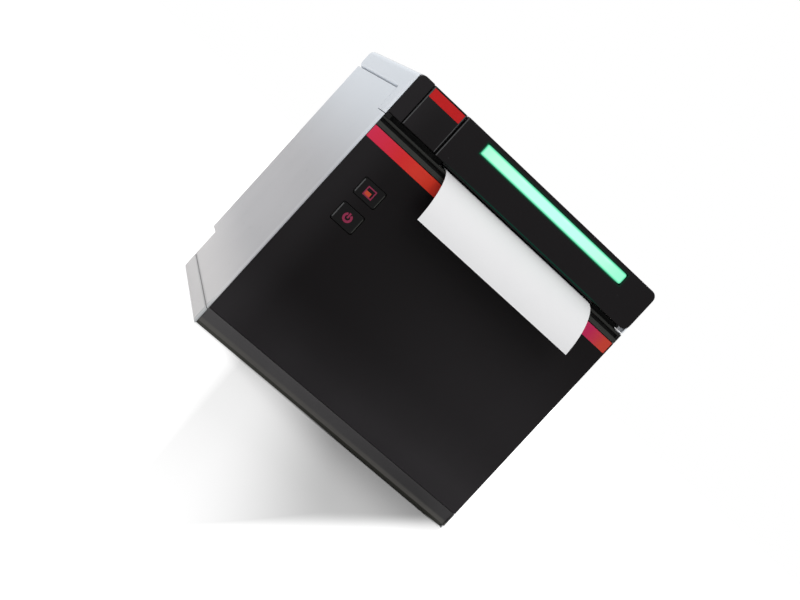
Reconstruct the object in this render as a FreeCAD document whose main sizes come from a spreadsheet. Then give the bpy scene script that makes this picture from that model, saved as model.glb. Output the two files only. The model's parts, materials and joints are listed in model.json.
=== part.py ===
import FreeCAD, Part
import math
import os
import re
import Sketcher
from fcgear import fcgear, involute

# Countertop queue ticket printer, a cube-shaped desk printer for 80 mm thermal paper.
# Millimetres. +X to the right of the front face, +Y to the back, +Z up; the feet stand on z = 0.
# The origin is under the middle of the whole, from the ticket's curl to the back of the case.

# ---- driving dimensions ---------------------------------------------------------------------

SIZES = {
    # case
    "case_width": 131.0,
    "case_depth": 120.0,
    "case_height": 127.2,
    "case_wall": 2.2,
    "lid_roof": 2.0,            # thickness of the cover's top
    "seam": 0.3,                # gap where two case parts meet
    "rim": 0.5,                 # silver edge left beside the black front parts
    "rim_setback": 0.6,         # silver edge behind the front plane
    "face_gauge": 3.0,          # thickness of the black front parts
    "face_play": 0.15,          # between a black front part and the silver edge
    "corner_radius": 3.0,
    "rear_radius": 2.0,
    "rib_width": 1.2,
    "rib_depth": 1.4,
    "rib_stop": 6.0,
    "overcut": 1.0,             # how far a cutting tool runs past a face
    # base
    "foot_height": 1.2,
    "skirt_gap": 0.4,           # tray's and trim's lower edges above the counter
    "foot_radius": 6.5,
    "stud_radius": 1.9,
    "stud_play": 0.1,
    "stud_rise": 0.4,
    "foot_inset": 21.5,
    "front_foot_depth": 26.0,
    "rear_foot_inset": 12.0,
    "base_gauge": 1.2,          # steel bottom plate
    "tray_height": 4.8,
    "trim_height": 7.8,
    "trim_slope": 0.9,
    "trim_chamfer": 1.5,
    "trim_gap": 0.2,
    "boss_radius": 3.4,
    "boss_inset": 7.0,
    "boss_web": 2.4,
    "front_boss_depth": 9.5,
    "rear_boss_inset": 6.5,
    "pilot_radius": 1.25,
    "screw_head_radius": 2.6,
    "screw_head_height": 0.6,
    "screw_end_gap": 0.5,
    "fixing_pitch": 60.0,       # two screw holes under the front for a counter bracket
    "fixing_radius": 1.65,
    "fixing_depth": 13.0,
    # recess for cables at the bottom of the back
    "recess_height": 20.2,
    "recess_depth": 16.0,
    "port_plate_gauge": 1.4,
    "ledge_gap": 0.1,
    # cover
    "lid_drop": 9.7,            # from the top down to the seam at the sides
    "band_height": 19.2,        # black band on the cover's front
    "cheek_drop": 1.2,          # cover's sides below the band
    "cheek_depth": 15.4,
    "hinge_inset": 3.0,
    "hinge_pin_radius": 1.2,
    "pin_play": 0.05,
    "ear_radius": 2.6,
    "ear_width": 6.0,
    "ear_inset": 19.5,
    "ear_drop": 12.0,
    "ear_gap": 0.5,
    "knuckle_width": 4.0,
    # opening button at the left of the band
    "cheek_width": 6.55,        # black corner beside the button
    "release_width": 16.6,
    "release_gap": 0.5,
    "release_right_gap": 1.0,
    "release_depth": 7.0,
    "release_travel": 2.0,
    "release_play": 0.2,
    "release_stripe_height": 4.0,
    "release_stripe_drop": 0.7,
    "stripe_gauge": 0.4,
    "push_rod_width": 4.0,
    "push_rod_height": 1.2,
    # light bar in the band
    "light_shift": 4.2,         # bar's middle right of the paper's
    "light_shortfall": 1.5,     # bar's length less than the paper's width
    "light_height": 5.2,
    "light_drop": 2.2,
    "light_depth": 6.2,
    "light_play": 0.1,
    "board_gauge": 1.6,
    "led_size": 1.2,
    "led_rise": 0.5,
    "light_board_margin": 2.0,
    "light_board_drop": 3.0,
    # front
    "lip_height": 4.5,
    "lip_depth": 5.0,
    "lip_step": 1.9,
    "lip_gap": 0.1,
    "slot_gap": 2.0,            # lip's top to the band's lower edge
    "groove_depth": 1.6,
    "groove_bevel": 0.3,
    "ridge_height": 1.4,
    "ridge_setback": 0.6,
    "ridge_edge": 0.2,
    "stripe_height": 5.4,
    "stripe_drop": 0.2,
    # key pair
    "key_inset": 16.6,          # left side of the case to the keys' middle
    "key_width": 10.7,
    "feed_key_height": 7.7,
    "feed_key_drop": 46.55,
    "power_key_height": 8.3,
    "key_pitch": 12.5,
    "key_play": 0.2,
    "key_travel": 0.8,
    "key_recess": 0.25,
    "key_corner": 0.9,
    "flange_margin": 1.0,
    "flange_gauge": 1.0,
    "plunger_radius": 1.6,
    "icon_gauge": 0.15,
    "power_icon_radius": 2.1,
    "icon_line": 0.5,
    "icon_overlap": 0.2,
    "feed_icon_width": 4.6,
    "feed_icon_height": 4.0,
    "key_board_depth": 9.6,
    "key_board_margin": 2.6,
    "key_board_end": 5.4,
    "switch_size": 6.0,
    "switch_height": 2.2,
    "switch_play": 0.1,
    "post_radius": 1.8,
    "post_edge": 0.4,
    # paper path
    "key_side": 32.75,          # left side of the case to the paper
    "drive_side": 18.75,        # paper to the right side of the case
    "paper_gauge": 0.25,
    "nip_drop": 1.0,            # paper's upper face below the band
    "ticket_reach": 17.0,
    "ticket_sweep": 87.4,       # degrees
    "cut_depth": 5.4,           # where the cut ticket begins
    "cut_gap": 2.0,
    "web_bend_depth": 24.0,
    "web_rise": 0.4,            # paper leaving the top of the roll
    # platen
    "platen_radius": 6.2,
    "platen_depth": 16.0,
    "platen_overhang": 0.45,
    "nip_play": 0.2,
    "shaft_radius": 3.0,
    "running_play": 0.05,
    "bush_radius": 4.6,
    "bracket_gap": 0.8,
    "bracket_width": 2.6,
    "bracket_depth": 14.6,
    "bracket_floor": 2.2,       # bracket's lower edge above the nip
    "bush_overrun": 0.6,
    # gears
    "gear_module": 0.8,
    "platen_teeth": 24,
    "idler_teeth": 28,
    "pinion_teeth": 12,
    "gear_play": 0.12,
    "gear_width": 5.0,
    "gear_offset": 0.8,
    "shaft_end": 0.4,
    "pinion_offset": 8.0,       # pinion behind the idler
    "idler_pin_radius": 2.0,
    "motor_radius": 13.5,
    "motor_length": 20.0,
    "motor_boss_radius": 5.0,
    "motor_boss_height": 1.6,
    "motor_shaft_radius": 1.5,
    # mechanism frame
    "frame_gap": 6.75,          # paper's edge to the frame plates
    "frame_gauge": 1.2,
    "frame_front": 8.0,
    "leg_width": 12.0,
    "leg_height": 34.0,
    "rear_leg_inset": 14.0,
    "rear_leg_width": 8.0,
    "frame_shoulder_drop": 11.0,
    "frame_drop": 3.0,          # frame plates' front edge below the paper
    "frame_top_rise": 3.0,
    "ear_front": 26.8,
    "ear_back": 38.0,
    "slope_end": 46.0,
    "leg_foot": 8.0,
    "catch_depth": 35.0,
    "catch_drop": 1.8,
    "catch_radius": 1.4,
    "catch_reach": 2.4,
    # print head
    "head_play": 0.15,
    "head_gauge": 1.2,
    "head_margin": 1.7,
    "head_front": 10.4,
    "head_depth": 11.6,
    "sink_height": 7.4,
    "sink_front": 9.6,
    "sink_depth": 14.4,
    "fin_gap": 2.0,
    "fin_height": 3.4,
    "spring_height": 4.4,
    "spring_radius": 3.0,
    "spring_bore": 2.2,
    "spring_pitch": 30.0,
    "bracket_gauge": 1.2,
    "fence_drop": 2.4,
    # cutter
    "blade_front": 5.7,
    "blade_gauge": 1.0,
    "blade_overhang": 1.8,
    "blade_height": 18.0,
    "blade_rest": 0.95,         # blade's edge below the paper
    "blade_vee": 1.6,
    "shear_gap": 0.2,
    "blade_play": 0.3,
    "guide_gauge": 1.6,
    "guide_drop": 2.4,
    "guide_height": 20.0,
    "tab_width": 10.0,
    "tab_height": 8.0,
    "tab_offset": 23.0,
    "counter_gauge": 0.8,
    "counter_height": 6.2,
    "counter_rise": 0.6,
    "counter_flange": 1.0,
    "drive_width": 22.0,
    "drive_height": 16.0,
    "drive_depth": 11.0,
    "drive_offset": 34.0,
    "drive_drop": 2.0,
    "cutter_motor_radius": 5.4,
    "cutter_motor_length": 18.0,
    # paper guide, bin and roll
    "ramp_front": 24.6,
    "ramp_depth": 18.4,
    "ramp_margin": 1.3,
    "ramp_drop": 1.6,
    "ramp_height": 5.4,
    "ramp_foot": 2.4,
    "ramp_fall": 1.0,
    "bin_play": 0.7,            # paper guide to the bin
    "bin_wall": 1.8,
    "bin_margin": 0.85,
    "bin_gap": 0.5,             # bin to the rear panel
    "bin_drop": 3.0,
    "bin_flange": 1.8,
    "flange_gap": 0.2,
    "flange_end": 4.0,
    "roll_drop": 3.7,           # top of a full roll below the paper's path
    "roll_slack": 2.0,
    "roll_play": 0.3,
    "core_radius": 8.0,
    "core_bore": 6.2,
    # latch
    "latch_depth": 30.0,
    "latch_rise": 5.0,
    "latch_radius": 2.0,
    "lever_gauge": 2.6,
    "lever_rise": 7.5,
    "lever_width": 5.0,
    "lever_play": 0.3,
    "rod_rise": 5.9,
    "hook_drop": 10.0,
    "hook_gauge": 1.6,
    "hook_gap": 0.7,
    "nose_reach": 2.0,
    "nose_height": 2.0,
    "latch_lug_width": 3.0,
    "latch_lug_depth": 6.0,
    "lug_clear": 1.3,
    "lug_overhang": 1.2,
    "lug_wall": 1.5,
    "liner_gauge": 1.0,
    "liner_inset": 12.0,
    "liner_gap": 0.4,
    # electronics
    "board_rise": 2.6,
    "board_side_gap": 8.6,
    "board_front": 24.0,
    "board_back_gap": 1.2,
    "board_screw_inset": 3.5,
    "standoff_radius": 2.6,
    "board_screw_height": 1.4,
    "chip_offset": 23.0,
    "chip_size": 14.0,
    "chip_height": 1.4,
    "memory_offset": 8.0,
    "memory_size": 9.0,
    "driver_inset": 34.5,
    "driver_size": 11.0,
    "driver_height": 3.0,
    "chip_depth": 22.0,
    "capacitor_radius": 4.0,
    "capacitor_height": 11.0,
    "capacitor_inset": 21.5,
    "capacitor_pitch": 11.0,
    "capacitor_depth": 44.0,
    "buzzer_radius": 6.0,
    "buzzer_height": 6.0,
    "buzzer_inset": 19.5,
    "jack_inset": 24.5,
    "jack_width": 9.0,
    "jack_height": 11.0,
    "jack_bore": 3.1,
    "jack_pin": 1.05,
    "usb_inset": 41.5,
    "usb_width": 12.0,
    "usb_height": 10.8,
    "usb_mouth_width": 8.6,
    "usb_mouth_height": 7.8,
    "usb_tongue_width": 5.4,
    "usb_tongue_height": 3.2,
    "lan_centre": -1.0,
    "lan_width": 16.0,
    "lan_height": 12.0,
    "lan_mouth_width": 11.8,
    "lan_mouth_height": 8.2,
    "drawer_inset": 43.5,
    "drawer_width": 13.0,
    "drawer_height": 12.0,
    "drawer_mouth_width": 9.8,
    "drawer_mouth_height": 7.0,
    "port_depth": 15.0,
    "mouth_depth": 12.0,
    "tongue_setback": 1.0,
    "port_play": 0.3,
    "vent_pitch": 9.0,
    "vent_width": 3.0,
    "vent_height": 22.0,
    "vent_level": 64.0,
}

# Sizes and places that follow the ones above.
TIED = {
    "foot_offset_x": "case_width / 2 - foot_inset",
    "foot_pitch": "case_depth - recess_depth - front_foot_depth - rear_foot_inset",
    "ear_offset": "case_width / 2 - ear_inset",
    # sockets, from the case's sides
    "jack_centre": "jack_inset - case_width / 2",
    "usb_centre": "usb_inset - case_width / 2",
    "drawer_centre": "case_width / 2 - drawer_inset",
    # keys and opening button, from the case's left side
    "key_centre": "case_width / 2 - key_inset",
    "feed_key_level": "case_height - feed_key_drop",
    "power_key_level": "feed_key_level - key_pitch",
    "release_left": "case_width / 2 - rim - face_play - cheek_width - release_gap",
    # paper, and what lies beside it
    "paper_width": "case_width - key_side - drive_side",
    "track_centre": "(key_side - drive_side) / 2",
    "nip_level": "case_height - band_height - nip_drop",
    "light_width": "paper_width - light_shortfall",
    "light_left": "light_width / 2 - track_centre - light_shift",
    "led_pitch": "light_width / 12",
    # mechanism, hung from the paper's level
    "frame_rise": "nip_level - frame_drop",
    "frame_top": "nip_level + frame_top_rise",
    "frame_shoulder": "nip_level - frame_shoulder_drop",
    "rear_leg_depth": "case_depth - rear_leg_inset",
    "catch_level": "nip_level - catch_drop",
    "latch_level": "nip_level + latch_rise",
    "latch_lug_offset":
        "paper_width / 2 - track_centre + frame_gap + frame_gauge + lug_clear + latch_lug_width",
    # bin and roll, filling the room behind the paper guide
    "bin_radius": "(case_depth - case_wall - bin_gap - ramp_front - ramp_depth - bin_play) / 2 - bin_wall",
    "roll_radius": "bin_radius - roll_slack",
    "bin_level": "nip_level - roll_drop - roll_play - bin_radius + 2 * roll_slack",
    "bin_top": "nip_level - bin_drop",
    "liner_back": "case_depth - liner_inset",
    # parts on the main board
    "driver_offset": "case_width / 2 - driver_inset",
    "capacitor_offset": "case_width / 2 - capacitor_inset",
    "buzzer_offset": "case_width / 2 - buzzer_inset",
}

doc = FreeCAD.newDocument("TicketPrinter")
sheet = doc.addObject("Spreadsheet::Sheet", "Sizes")
for row, (alias, size) in enumerate(SIZES.items(), 1):
    sheet.set(f"A{row}", alias)
    sheet.set(f"B{row}", str(size))
    sheet.setAlias(f"B{row}", alias)
doc.recompute()

PRESSURE_ANGLE = 20
ADDENDUM = 1.0
DEDENDUM = 1.25
ROOT_FILLET = 0.2
WORD = re.compile(r"[a-z]\w*")
PLANES = {"XY": "XY_Plane", "XZ": "XZ_Plane", "YZ": "YZ_Plane"}
TURNS = {
    "X": FreeCAD.Rotation(FreeCAD.Vector(0, 1, 0), 90),
    "Y": FreeCAD.Rotation(FreeCAD.Vector(1, 0, 0), -90),
    "Z": FreeCAD.Rotation(),
}
pieces = []


# ---- modelling in expressions ---------------------------------------------------------------

def bound(text):
    """The expression with each size's name pointing at its cell, and each tied name spelt out."""
    return WORD.sub(lambda word: named(word.group()), text)


def named(word):
    if word in TIED:
        return "(" + bound(TIED[word]) + ")"
    return "Sizes." + word if word in SIZES else word


def number(text):
    """What an expression comes to."""
    return float(sheet.evalExpression(bound(text)))


def bind(thing, **expressions):
    for name, text in expressions.items():
        thing.setExpression(name.replace("_", "."), bound(text))


def place(thing, x, y, z):
    bind(thing, Placement_Base_x=x, Placement_Base_y=y, Placement_Base_z=z)
    return thing


def block(x, y, z):
    """A box between pairs of low and high places."""
    box = doc.addObject("Part::Box", "Block")
    bind(box, Length=f"{x[1]} - ({x[0]})", Width=f"{y[1]} - ({y[0]})", Height=f"{z[1]} - ({z[0]})")
    return place(box, x[0], y[0], z[0])


def rod(axis, centre, radius, span):
    """A cylinder along an axis; centre holds its two other coordinates, in X, Y, Z order."""
    cylinder = doc.addObject("Part::Cylinder", "Rod")
    cylinder.Placement.Rotation = TURNS[axis]
    bind(cylinder, Radius=radius, Height=f"{span[1]} - ({span[0]})")
    where = list(centre)
    where.insert("XYZ".index(axis), span[0])
    return place(cylinder, *where)


def merge(*shapes):
    fuse = doc.addObject("Part::MultiFuse", "Merge")
    fuse.Shapes = list(shapes)
    return fuse


def remove(base, *tools):
    cut = doc.addObject("Part::Cut", "Cut")
    cut.Base = base
    cut.Tool = tools[0] if len(tools) == 1 else merge(*tools)
    return cut


def group(*shapes):
    compound = doc.addObject("Part::Compound", "Group")
    compound.Links = list(shapes)
    return compound


def piece(label, thing):
    """Takes a finished object as one of the printer's parts."""
    thing.Label = label
    pieces.append(thing)
    return thing


def body(label):
    return piece(label, doc.addObject("PartDesign::Body", "Body"))


def rect(u, v):
    return [(u[0], v[0]), (u[1], v[0]), (u[1], v[1]), (u[0], v[1])]


def ring(u, v, radius):
    return ("circle", u, v, radius)


def drawing(owner, plane, offset, outlines):
    """A constrained sketch of closed outlines on a plane of the body, offset along its normal."""
    sketch = owner.newObject("Sketcher::SketchObject", "Sketch")
    origin_plane = next(o for o in owner.Origin.OriginFeatures if o.Role == PLANES[plane])
    sketch.AttachmentSupport = [(origin_plane, "")]
    sketch.MapMode = "FlatFace"
    sketch.setExpression("AttachmentOffset.Base.z", bound(offset))

    def measure(kind, geometry, point, text):
        spot = (-1, 1, geometry, point) if point else (geometry,)
        index = sketch.addConstraint(Sketcher.Constraint(kind, *spot, number(text)))
        sketch.setExpression(f"Constraints[{index}]", bound(text))

    for outline in outlines:
        if outline[0] == "circle":
            centre = FreeCAD.Vector(number(outline[1]), number(outline[2]), 0)
            circle = Part.Circle(centre, FreeCAD.Vector(0, 0, 1), number(outline[3]))
            index = sketch.addGeometry(circle, False)
            measure("DistanceX", index, 3, outline[1])
            measure("DistanceY", index, 3, outline[2])
            measure("Radius", index, 0, outline[3])
            continue
        corners = [FreeCAD.Vector(number(u), number(v), 0) for u, v in outline]
        ends = corners[1:] + corners[:1]
        lines = [sketch.addGeometry(Part.LineSegment(a, b), False) for a, b in zip(corners, ends)]
        for line, after in zip(lines, lines[1:] + lines[:1]):
            sketch.addConstraint(Sketcher.Constraint("Coincident", line, 2, after, 1))
        for line, (u, v) in zip(lines, outline):
            measure("DistanceX", line, 1, u)
            measure("DistanceY", line, 1, v)
    return sketch


def pad(owner, plane, span, *outlines):
    """Adds material over a span along the plane's axis."""
    offset = f"-({span[1]})" if plane == "XZ" else span[0]
    feature = owner.newObject("PartDesign::Pad", "Pad")
    feature.Profile = drawing(owner, plane, offset, outlines)
    bind(feature, Length=f"{span[1]} - ({span[0]})")
    return feature


def pocket(owner, plane, span, *outlines):
    """Takes material away over a span along the plane's axis."""
    doc.recompute()
    before = owner.Shape.Volume
    offset = f"-({span[0]})" if plane == "XZ" else span[1]
    feature = owner.newObject("PartDesign::Pocket", "Pocket")
    feature.Profile = drawing(owner, plane, offset, outlines)
    bind(feature, Length=f"{span[1]} - ({span[0]})")
    doc.recompute()
    if owner.Shape.Volume >= before:
        raise ValueError(f"a pocket of {owner.Label} cuts nothing")
    return feature


def soften(owner, radius, *lines):
    """Rounds the edges that lie on the given lines, each a dict of two fixed coordinates."""
    doc.recompute()
    fixed = [{axis: number(text) for axis, text in line.items()} for line in lines]
    names = []
    for index, edge in enumerate(owner.Shape.Edges, 1):
        box = edge.BoundBox
        reach = {"x": (box.XMin, box.XMax), "y": (box.YMin, box.YMax), "z": (box.ZMin, box.ZMax)}
        for line in fixed:
            if all(abs(end - at) < 1e-4 for axis, at in line.items() for end in reach[axis]):
                names.append(f"Edge{index}")
    if not names:
        raise ValueError(f"no edge of {owner.Label} to round")
    base = owner.Tip
    feature = owner.newObject("PartDesign::Fillet", "Fillet")
    feature.Base = (base, names)
    bind(feature, Radius=radius)
    return feature


# ---- places that several parts share --------------------------------------------------------

def total(*terms):
    return "(" + " + ".join(terms) + ")"


def less(first, *terms):
    return "(" + " - ".join((first,) + terms) + ")"


half = "(case_width / 2)"
inner = less(half, "case_wall")
face_half = less(half, "rim", "face_play")
front = "((ticket_reach - case_depth) / 2)"
rear = total(front, "case_depth")
face_back = total(front, "face_gauge")
shelf = total(face_back, "face_play")
recess_front = less(rear, "recess_depth")

deck = total("foot_height", "base_gauge")
tray_top = total(deck, "tray_height")
side_floor = total(tray_top, "seam")
lid_line = less("case_height", "lid_drop")
side_top = less(lid_line, "seam")
roof = less("case_height", "lid_roof")
band_floor = less("case_height", "band_height")
cheek_floor = less(band_floor, "cheek_drop")
cheek_back = total(front, "cheek_depth")

track_left = less("track_centre", "paper_width / 2")
track_right = total("track_centre", "paper_width / 2")
frame_right = total(track_right, "frame_gap")
nip = "nip_level"
paper_floor = less(nip, "paper_gauge")
platen_y = total(front, "platen_depth")
platen_z = total(nip, "nip_play", "platen_radius")
hinge_y = less(rear, "hinge_inset")
hinge_z = total(lid_line, "hinge_inset")
roll_y = less(rear, "case_wall", "bin_gap", "bin_wall", "bin_radius")
roll_z = total(less("bin_level", "bin_radius"), "roll_play", "roll_radius")
latch_y = total(front, "latch_depth")
liner_floor = less(roof, "liner_gauge")

idler_z = less(platen_z, "gear_module * (platen_teeth + idler_teeth) / 2", "gear_play")
pinion_y = total(platen_y, "pinion_offset")
pinion_reach = total("gear_module * (idler_teeth + pinion_teeth) / 2", "gear_play")
pinion_z = less(idler_z, f"sqrt({pinion_reach} ^ 2 - pinion_offset ^ 2)")
gear_x = (total(frame_right, "frame_gauge", "gear_offset"),
          total(frame_right, "frame_gauge", "gear_offset", "gear_width"))

release_x = (less("0", "release_left"), less("release_width", "release_left"))
lip_floor = less(band_floor, "slot_gap", "lip_height")
board_z = (total(deck, "board_rise"), total(deck, "board_rise", "board_gauge"))
sides = ((-1, "left"), (1, "right"))


def deep(text):
    """A place measured back from the front plane."""
    return total(front, text)


def mirrored(sign, low, high):
    """A span on the right, or its mirror image on the left."""
    return (low, high) if sign > 0 else (f"-({high})", f"-({low})")


def about_track(reach):
    """A span as far each side of the paper's middle."""
    return (less("track_centre", reach), total("track_centre", reach))


def beside_track(sign, near, far):
    """A span to one side of the paper's middle."""
    ends = (total("track_centre", near), total("track_centre", far))
    return ends if sign > 0 else (less("track_centre", far), less("track_centre", near))


paper_half = "paper_width / 2"


# ---- base -----------------------------------------------------------------------------------

def corner_places():
    """The four screws that hold the bottom plate to the tray."""
    x = less(half, "boss_inset")
    return [(side, y) for side in (f"-{x}", x)
            for y in (deep("front_boss_depth"), less(recess_front, "rear_boss_inset"))]


def foot_places():
    return [(side, y) for side in ("-foot_offset_x", "foot_offset_x")
            for y in (deep("front_foot_depth"), deep("front_foot_depth + foot_pitch"))]


def bottom_plate():
    plate = body("bottom_plate")
    edge = less(inner, "seam")
    lip = total(shelf, "case_wall", "seam")
    pad(plate, "XY", ("foot_height", deck),
        rect((f"-{edge}", edge), (lip, less(recess_front, "port_plate_gauge", "seam"))))
    holes = [ring(x, y, "stud_radius + stud_play") for x, y in foot_places()]
    holes += [ring(x, y, "pilot_radius + stud_play") for x, y in corner_places()]
    holes += [ring(f"{sign} * fixing_pitch / 2", deep("fixing_depth"), "fixing_radius") for sign in (-1, 1)]
    pocket(plate, "XY", ("foot_height", deck), *holes)


def rubber_feet():
    feet = []
    for x, y in foot_places():
        pad_disc = rod("Z", (x, y), "foot_radius", ("0", "foot_height"))
        stud = rod("Z", (x, y), "stud_radius", ("0", total(deck, "stud_rise")))
        feet.append(merge(pad_disc, stud))
    piece("rubber_feet", group(*feet))


def base_tray():
    tray = body("base_tray")
    span = (deck, tray_top)
    skirt = ("skirt_gap", tray_top)
    pad(tray, "XY", skirt, rect((f"-{half}", half), (deep("rim_setback"), recess_front)))
    soften(tray, "rim_setback", {"x": f"-{half}", "y": deep("rim_setback")},
           {"x": half, "y": deep("rim_setback")})
    face = less(half, "rim")
    pocket(tray, "XY", skirt, rect((f"-{face}", face), (less(front, "rim"), shelf)))
    pocket(tray, "XY", skirt,
           rect((f"-{inner}", inner), (total(shelf, "case_wall"), total(recess_front, "rim"))))
    for sign, _ in sides:
        for _, y in corner_places()[:2]:
            web = mirrored(sign, less(half, "boss_inset"), less(half, "case_wall / 2"))
            pad(tray, "XY", span, rect(web, (less(y, "boss_web / 2"), total(y, "boss_web / 2"))))
    for x, y in corner_places():
        pad(tray, "XY", span, ring(x, y, "boss_radius"))
    pocket(tray, "XY", span, *[ring(x, y, "pilot_radius") for x, y in corner_places()])


def base_screws():
    screws = []
    for x, y in corner_places():
        under = less("foot_height", "screw_head_height")
        head = rod("Z", (x, y), "screw_head_radius", (under, "foot_height"))
        shank = rod("Z", (x, y), "pilot_radius", ("foot_height", less(tray_top, "screw_end_gap")))
        screws.append(merge(head, shank))
    piece("base_screws", group(*screws))


def front_trim():
    trim = body("front_trim")
    low = "skirt_gap"
    high = total(low, "trim_height")
    pad(trim, "YZ", (f"-{face_half}", face_half),
        [(front, high), (face_back, high), (face_back, low), (deep("trim_slope + trim_chamfer"), low),
         (deep("trim_slope"), total(low, "trim_chamfer"))])


# ---- case -----------------------------------------------------------------------------------

def side_panel(sign, name):
    panel = body(f"{name}_side_panel")
    lip = deep("rim_setback")
    outline = [(lip, side_floor), (lip, less(cheek_floor, "seam")),
               (total(cheek_back, "seam"), less(cheek_floor, "seam")), (total(cheek_back, "seam"), side_top),
               (rear, side_top), (rear, "recess_height"), (recess_front, "recess_height"),
               (recess_front, side_floor)]
    pad(panel, "YZ", mirrored(sign, inner, half), outline)
    outside = f"{sign} * {half}"
    soften(panel, "rear_radius", {"x": outside, "y": rear})
    soften(panel, "rim_setback", {"x": outside, "y": lip})
    pocket(panel, "YZ", mirrored(sign, inner, less(half, "rim")),
           rect((less(front, "rim"), shelf), (less(side_floor, "overcut"), side_top)))
    ribs = [rect((deep(depth), total(deep(depth), "rib_width")), (side_floor, less(side_top, "rib_stop")))
            for depth in ("case_depth / 4", "case_depth / 2", "case_depth * 3 / 4")]
    pad(panel, "YZ", mirrored(sign, less(inner, "rib_depth"), inner), *ribs)


def vent_outlines():
    return [rect((f"{i} * vent_pitch - vent_width / 2", f"{i} * vent_pitch + vent_width / 2"),
                 ("vent_level", "vent_level + vent_height")) for i in range(-4, 5)]


def rear_panel():
    panel = body("rear_panel")
    edge = less(inner, "face_play")
    back = less(rear, "case_wall")
    shelf_top = total("recess_height", "case_wall")
    pad(panel, "YZ", (f"-{edge}", edge),
        [(rear, "recess_height"), (rear, side_top), (back, side_top), (back, shelf_top),
         (recess_front, shelf_top), (recess_front, "recess_height")])
    pocket(panel, "XZ", (back, rear), *vent_outlines())


def ear_span(sign):
    return mirrored(sign, "ear_offset", total("ear_offset", "ear_width"))


def hinge_ears():
    ears = []
    for sign, _ in sides:
        x = ear_span(sign)
        neck = block(x, (less(hinge_y, "ear_radius"), total(hinge_y, "ear_radius")), (side_top, hinge_z))
        foot = block(x, (less(hinge_y, "ear_radius"), less(rear, "case_wall")),
                     (less(side_top, "ear_drop"), side_top))
        eye = rod("X", (hinge_y, hinge_z), "ear_radius", x)
        bore = rod("X", (hinge_y, hinge_z), "hinge_pin_radius + pin_play", x)
        ears.append(remove(merge(neck, foot, eye), bore))
    piece("hinge_ears", group(*ears))


def front_panel():
    panel = body("front_panel")
    low = total("skirt_gap", "trim_height", "trim_gap")
    high = less(lip_floor, "lip_gap")
    pad(panel, "XZ", (front, face_back), rect((f"-{face_half}", face_half), (low, high)))
    stripe_top = less(high, "stripe_drop")
    pocket(panel, "XZ", (front, deep("stripe_gauge")),
           rect((f"-{face_half}", face_half), (less(stripe_top, "stripe_height"), stripe_top)))
    windows = [key_window(*key) for key in KEYS]
    pocket(panel, "XZ", (front, face_back), *[rect(*window) for window in windows])
    edges = [{"x": x, "z": z} for across, up in windows for x in across for z in up]
    soften(panel, "key_corner", *edges)
    posts = [ring(x, z, "post_radius") for x, z in post_places()]
    pad(panel, "XZ", (face_back, deep("key_board_depth")), *posts)


def front_stripe():
    top = less(lip_floor, "lip_gap", "stripe_drop")
    piece("front_stripe", block((f"-{face_half}", face_half), (front, deep("stripe_gauge")),
                                (less(top, "stripe_height"), top)))


def lower_lip():
    lip = body("lower_lip")
    step = total(lip_floor, "lip_step")
    top = total(lip_floor, "lip_height")
    pad(lip, "YZ", (f"-{face_half}", face_half),
        [(front, lip_floor), (front, step), (deep("groove_depth"), total(step, "groove_bevel")),
         (deep("groove_depth"), less(top, "ridge_height")),
         (deep("ridge_setback"), less(top, "ridge_height", "-groove_bevel")),
         (deep("ridge_setback"), less(top, "ridge_edge")), (deep("ridge_setback + 2 * ridge_edge"), top),
         (face_back, top), (face_back, lip_floor)])
    edge = less(inner, "face_play")
    pad(lip, "XY", (lip_floor, top), rect((f"-{edge}", edge), (face_back, deep("lip_depth"))))


# ---- keys -----------------------------------------------------------------------------------

KEYS = (("feed", "feed_key_level", "feed_key_height"), ("power", "power_key_level", "power_key_height"))


def key_span(level, height, grow="0"):
    across = (less("0", "key_centre", "key_width / 2", grow), total("key_width / 2", grow) + " - key_centre")
    up = (less(level, f"{height} / 2", grow), total(level, f"{height} / 2", grow))
    return across, up


def key_window(name, level, height):
    return key_span(level, height, "key_play")


def post_places():
    x = total("key_width / 2", "key_board_margin", "-post_radius", "-post_edge")
    low = less("power_key_level", "power_key_height / 2", "key_board_end", "-post_radius", "-post_edge")
    high = total("feed_key_level", "feed_key_height / 2", "key_board_end", "-post_radius", "-post_edge")
    return [(f"{sign} * {x} - key_centre", z) for sign in (-1, 1) for z in (low, high)]


def key_button(name, level, height):
    button = body(f"{name}_button")
    across, up = key_span(level, height)
    cap_front = deep("key_recess")
    cap_back = total(face_back, "key_play")
    pad(button, "XZ", (cap_front, cap_back), rect(across, up))
    soften(button, "key_corner", *[{"x": x, "z": z} for x in across for z in up])
    wide = key_span(level, height, "flange_margin")
    pad(button, "XZ", (cap_back, total(cap_back, "flange_gauge")), rect(*wide))
    middle = ("-key_centre", level)
    plunger_end = less(deep("key_board_depth"), "switch_height", "key_travel", "switch_play")
    pad(button, "XZ", (total(cap_back, "flange_gauge"), plunger_end), ring(*middle, "plunger_radius"))


def power_icon():
    y = (less(deep("key_recess"), "icon_gauge"), deep("key_recess"))
    middle = ("-key_centre", "power_key_level")
    outer = rod("Y", middle, "power_icon_radius", y)
    hole = rod("Y", middle, "power_icon_radius - icon_line", y)
    gap = block(("-key_centre - icon_line", "icon_line - key_centre"), y,
                ("power_key_level", "power_key_level + power_icon_radius"))
    bar = block(("-key_centre - icon_line / 2", "icon_line / 2 - key_centre"), y,
                ("power_key_level", "power_key_level + power_icon_radius + icon_overlap"))
    piece("power_icon", group(remove(outer, hole, gap), bar))


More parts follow.
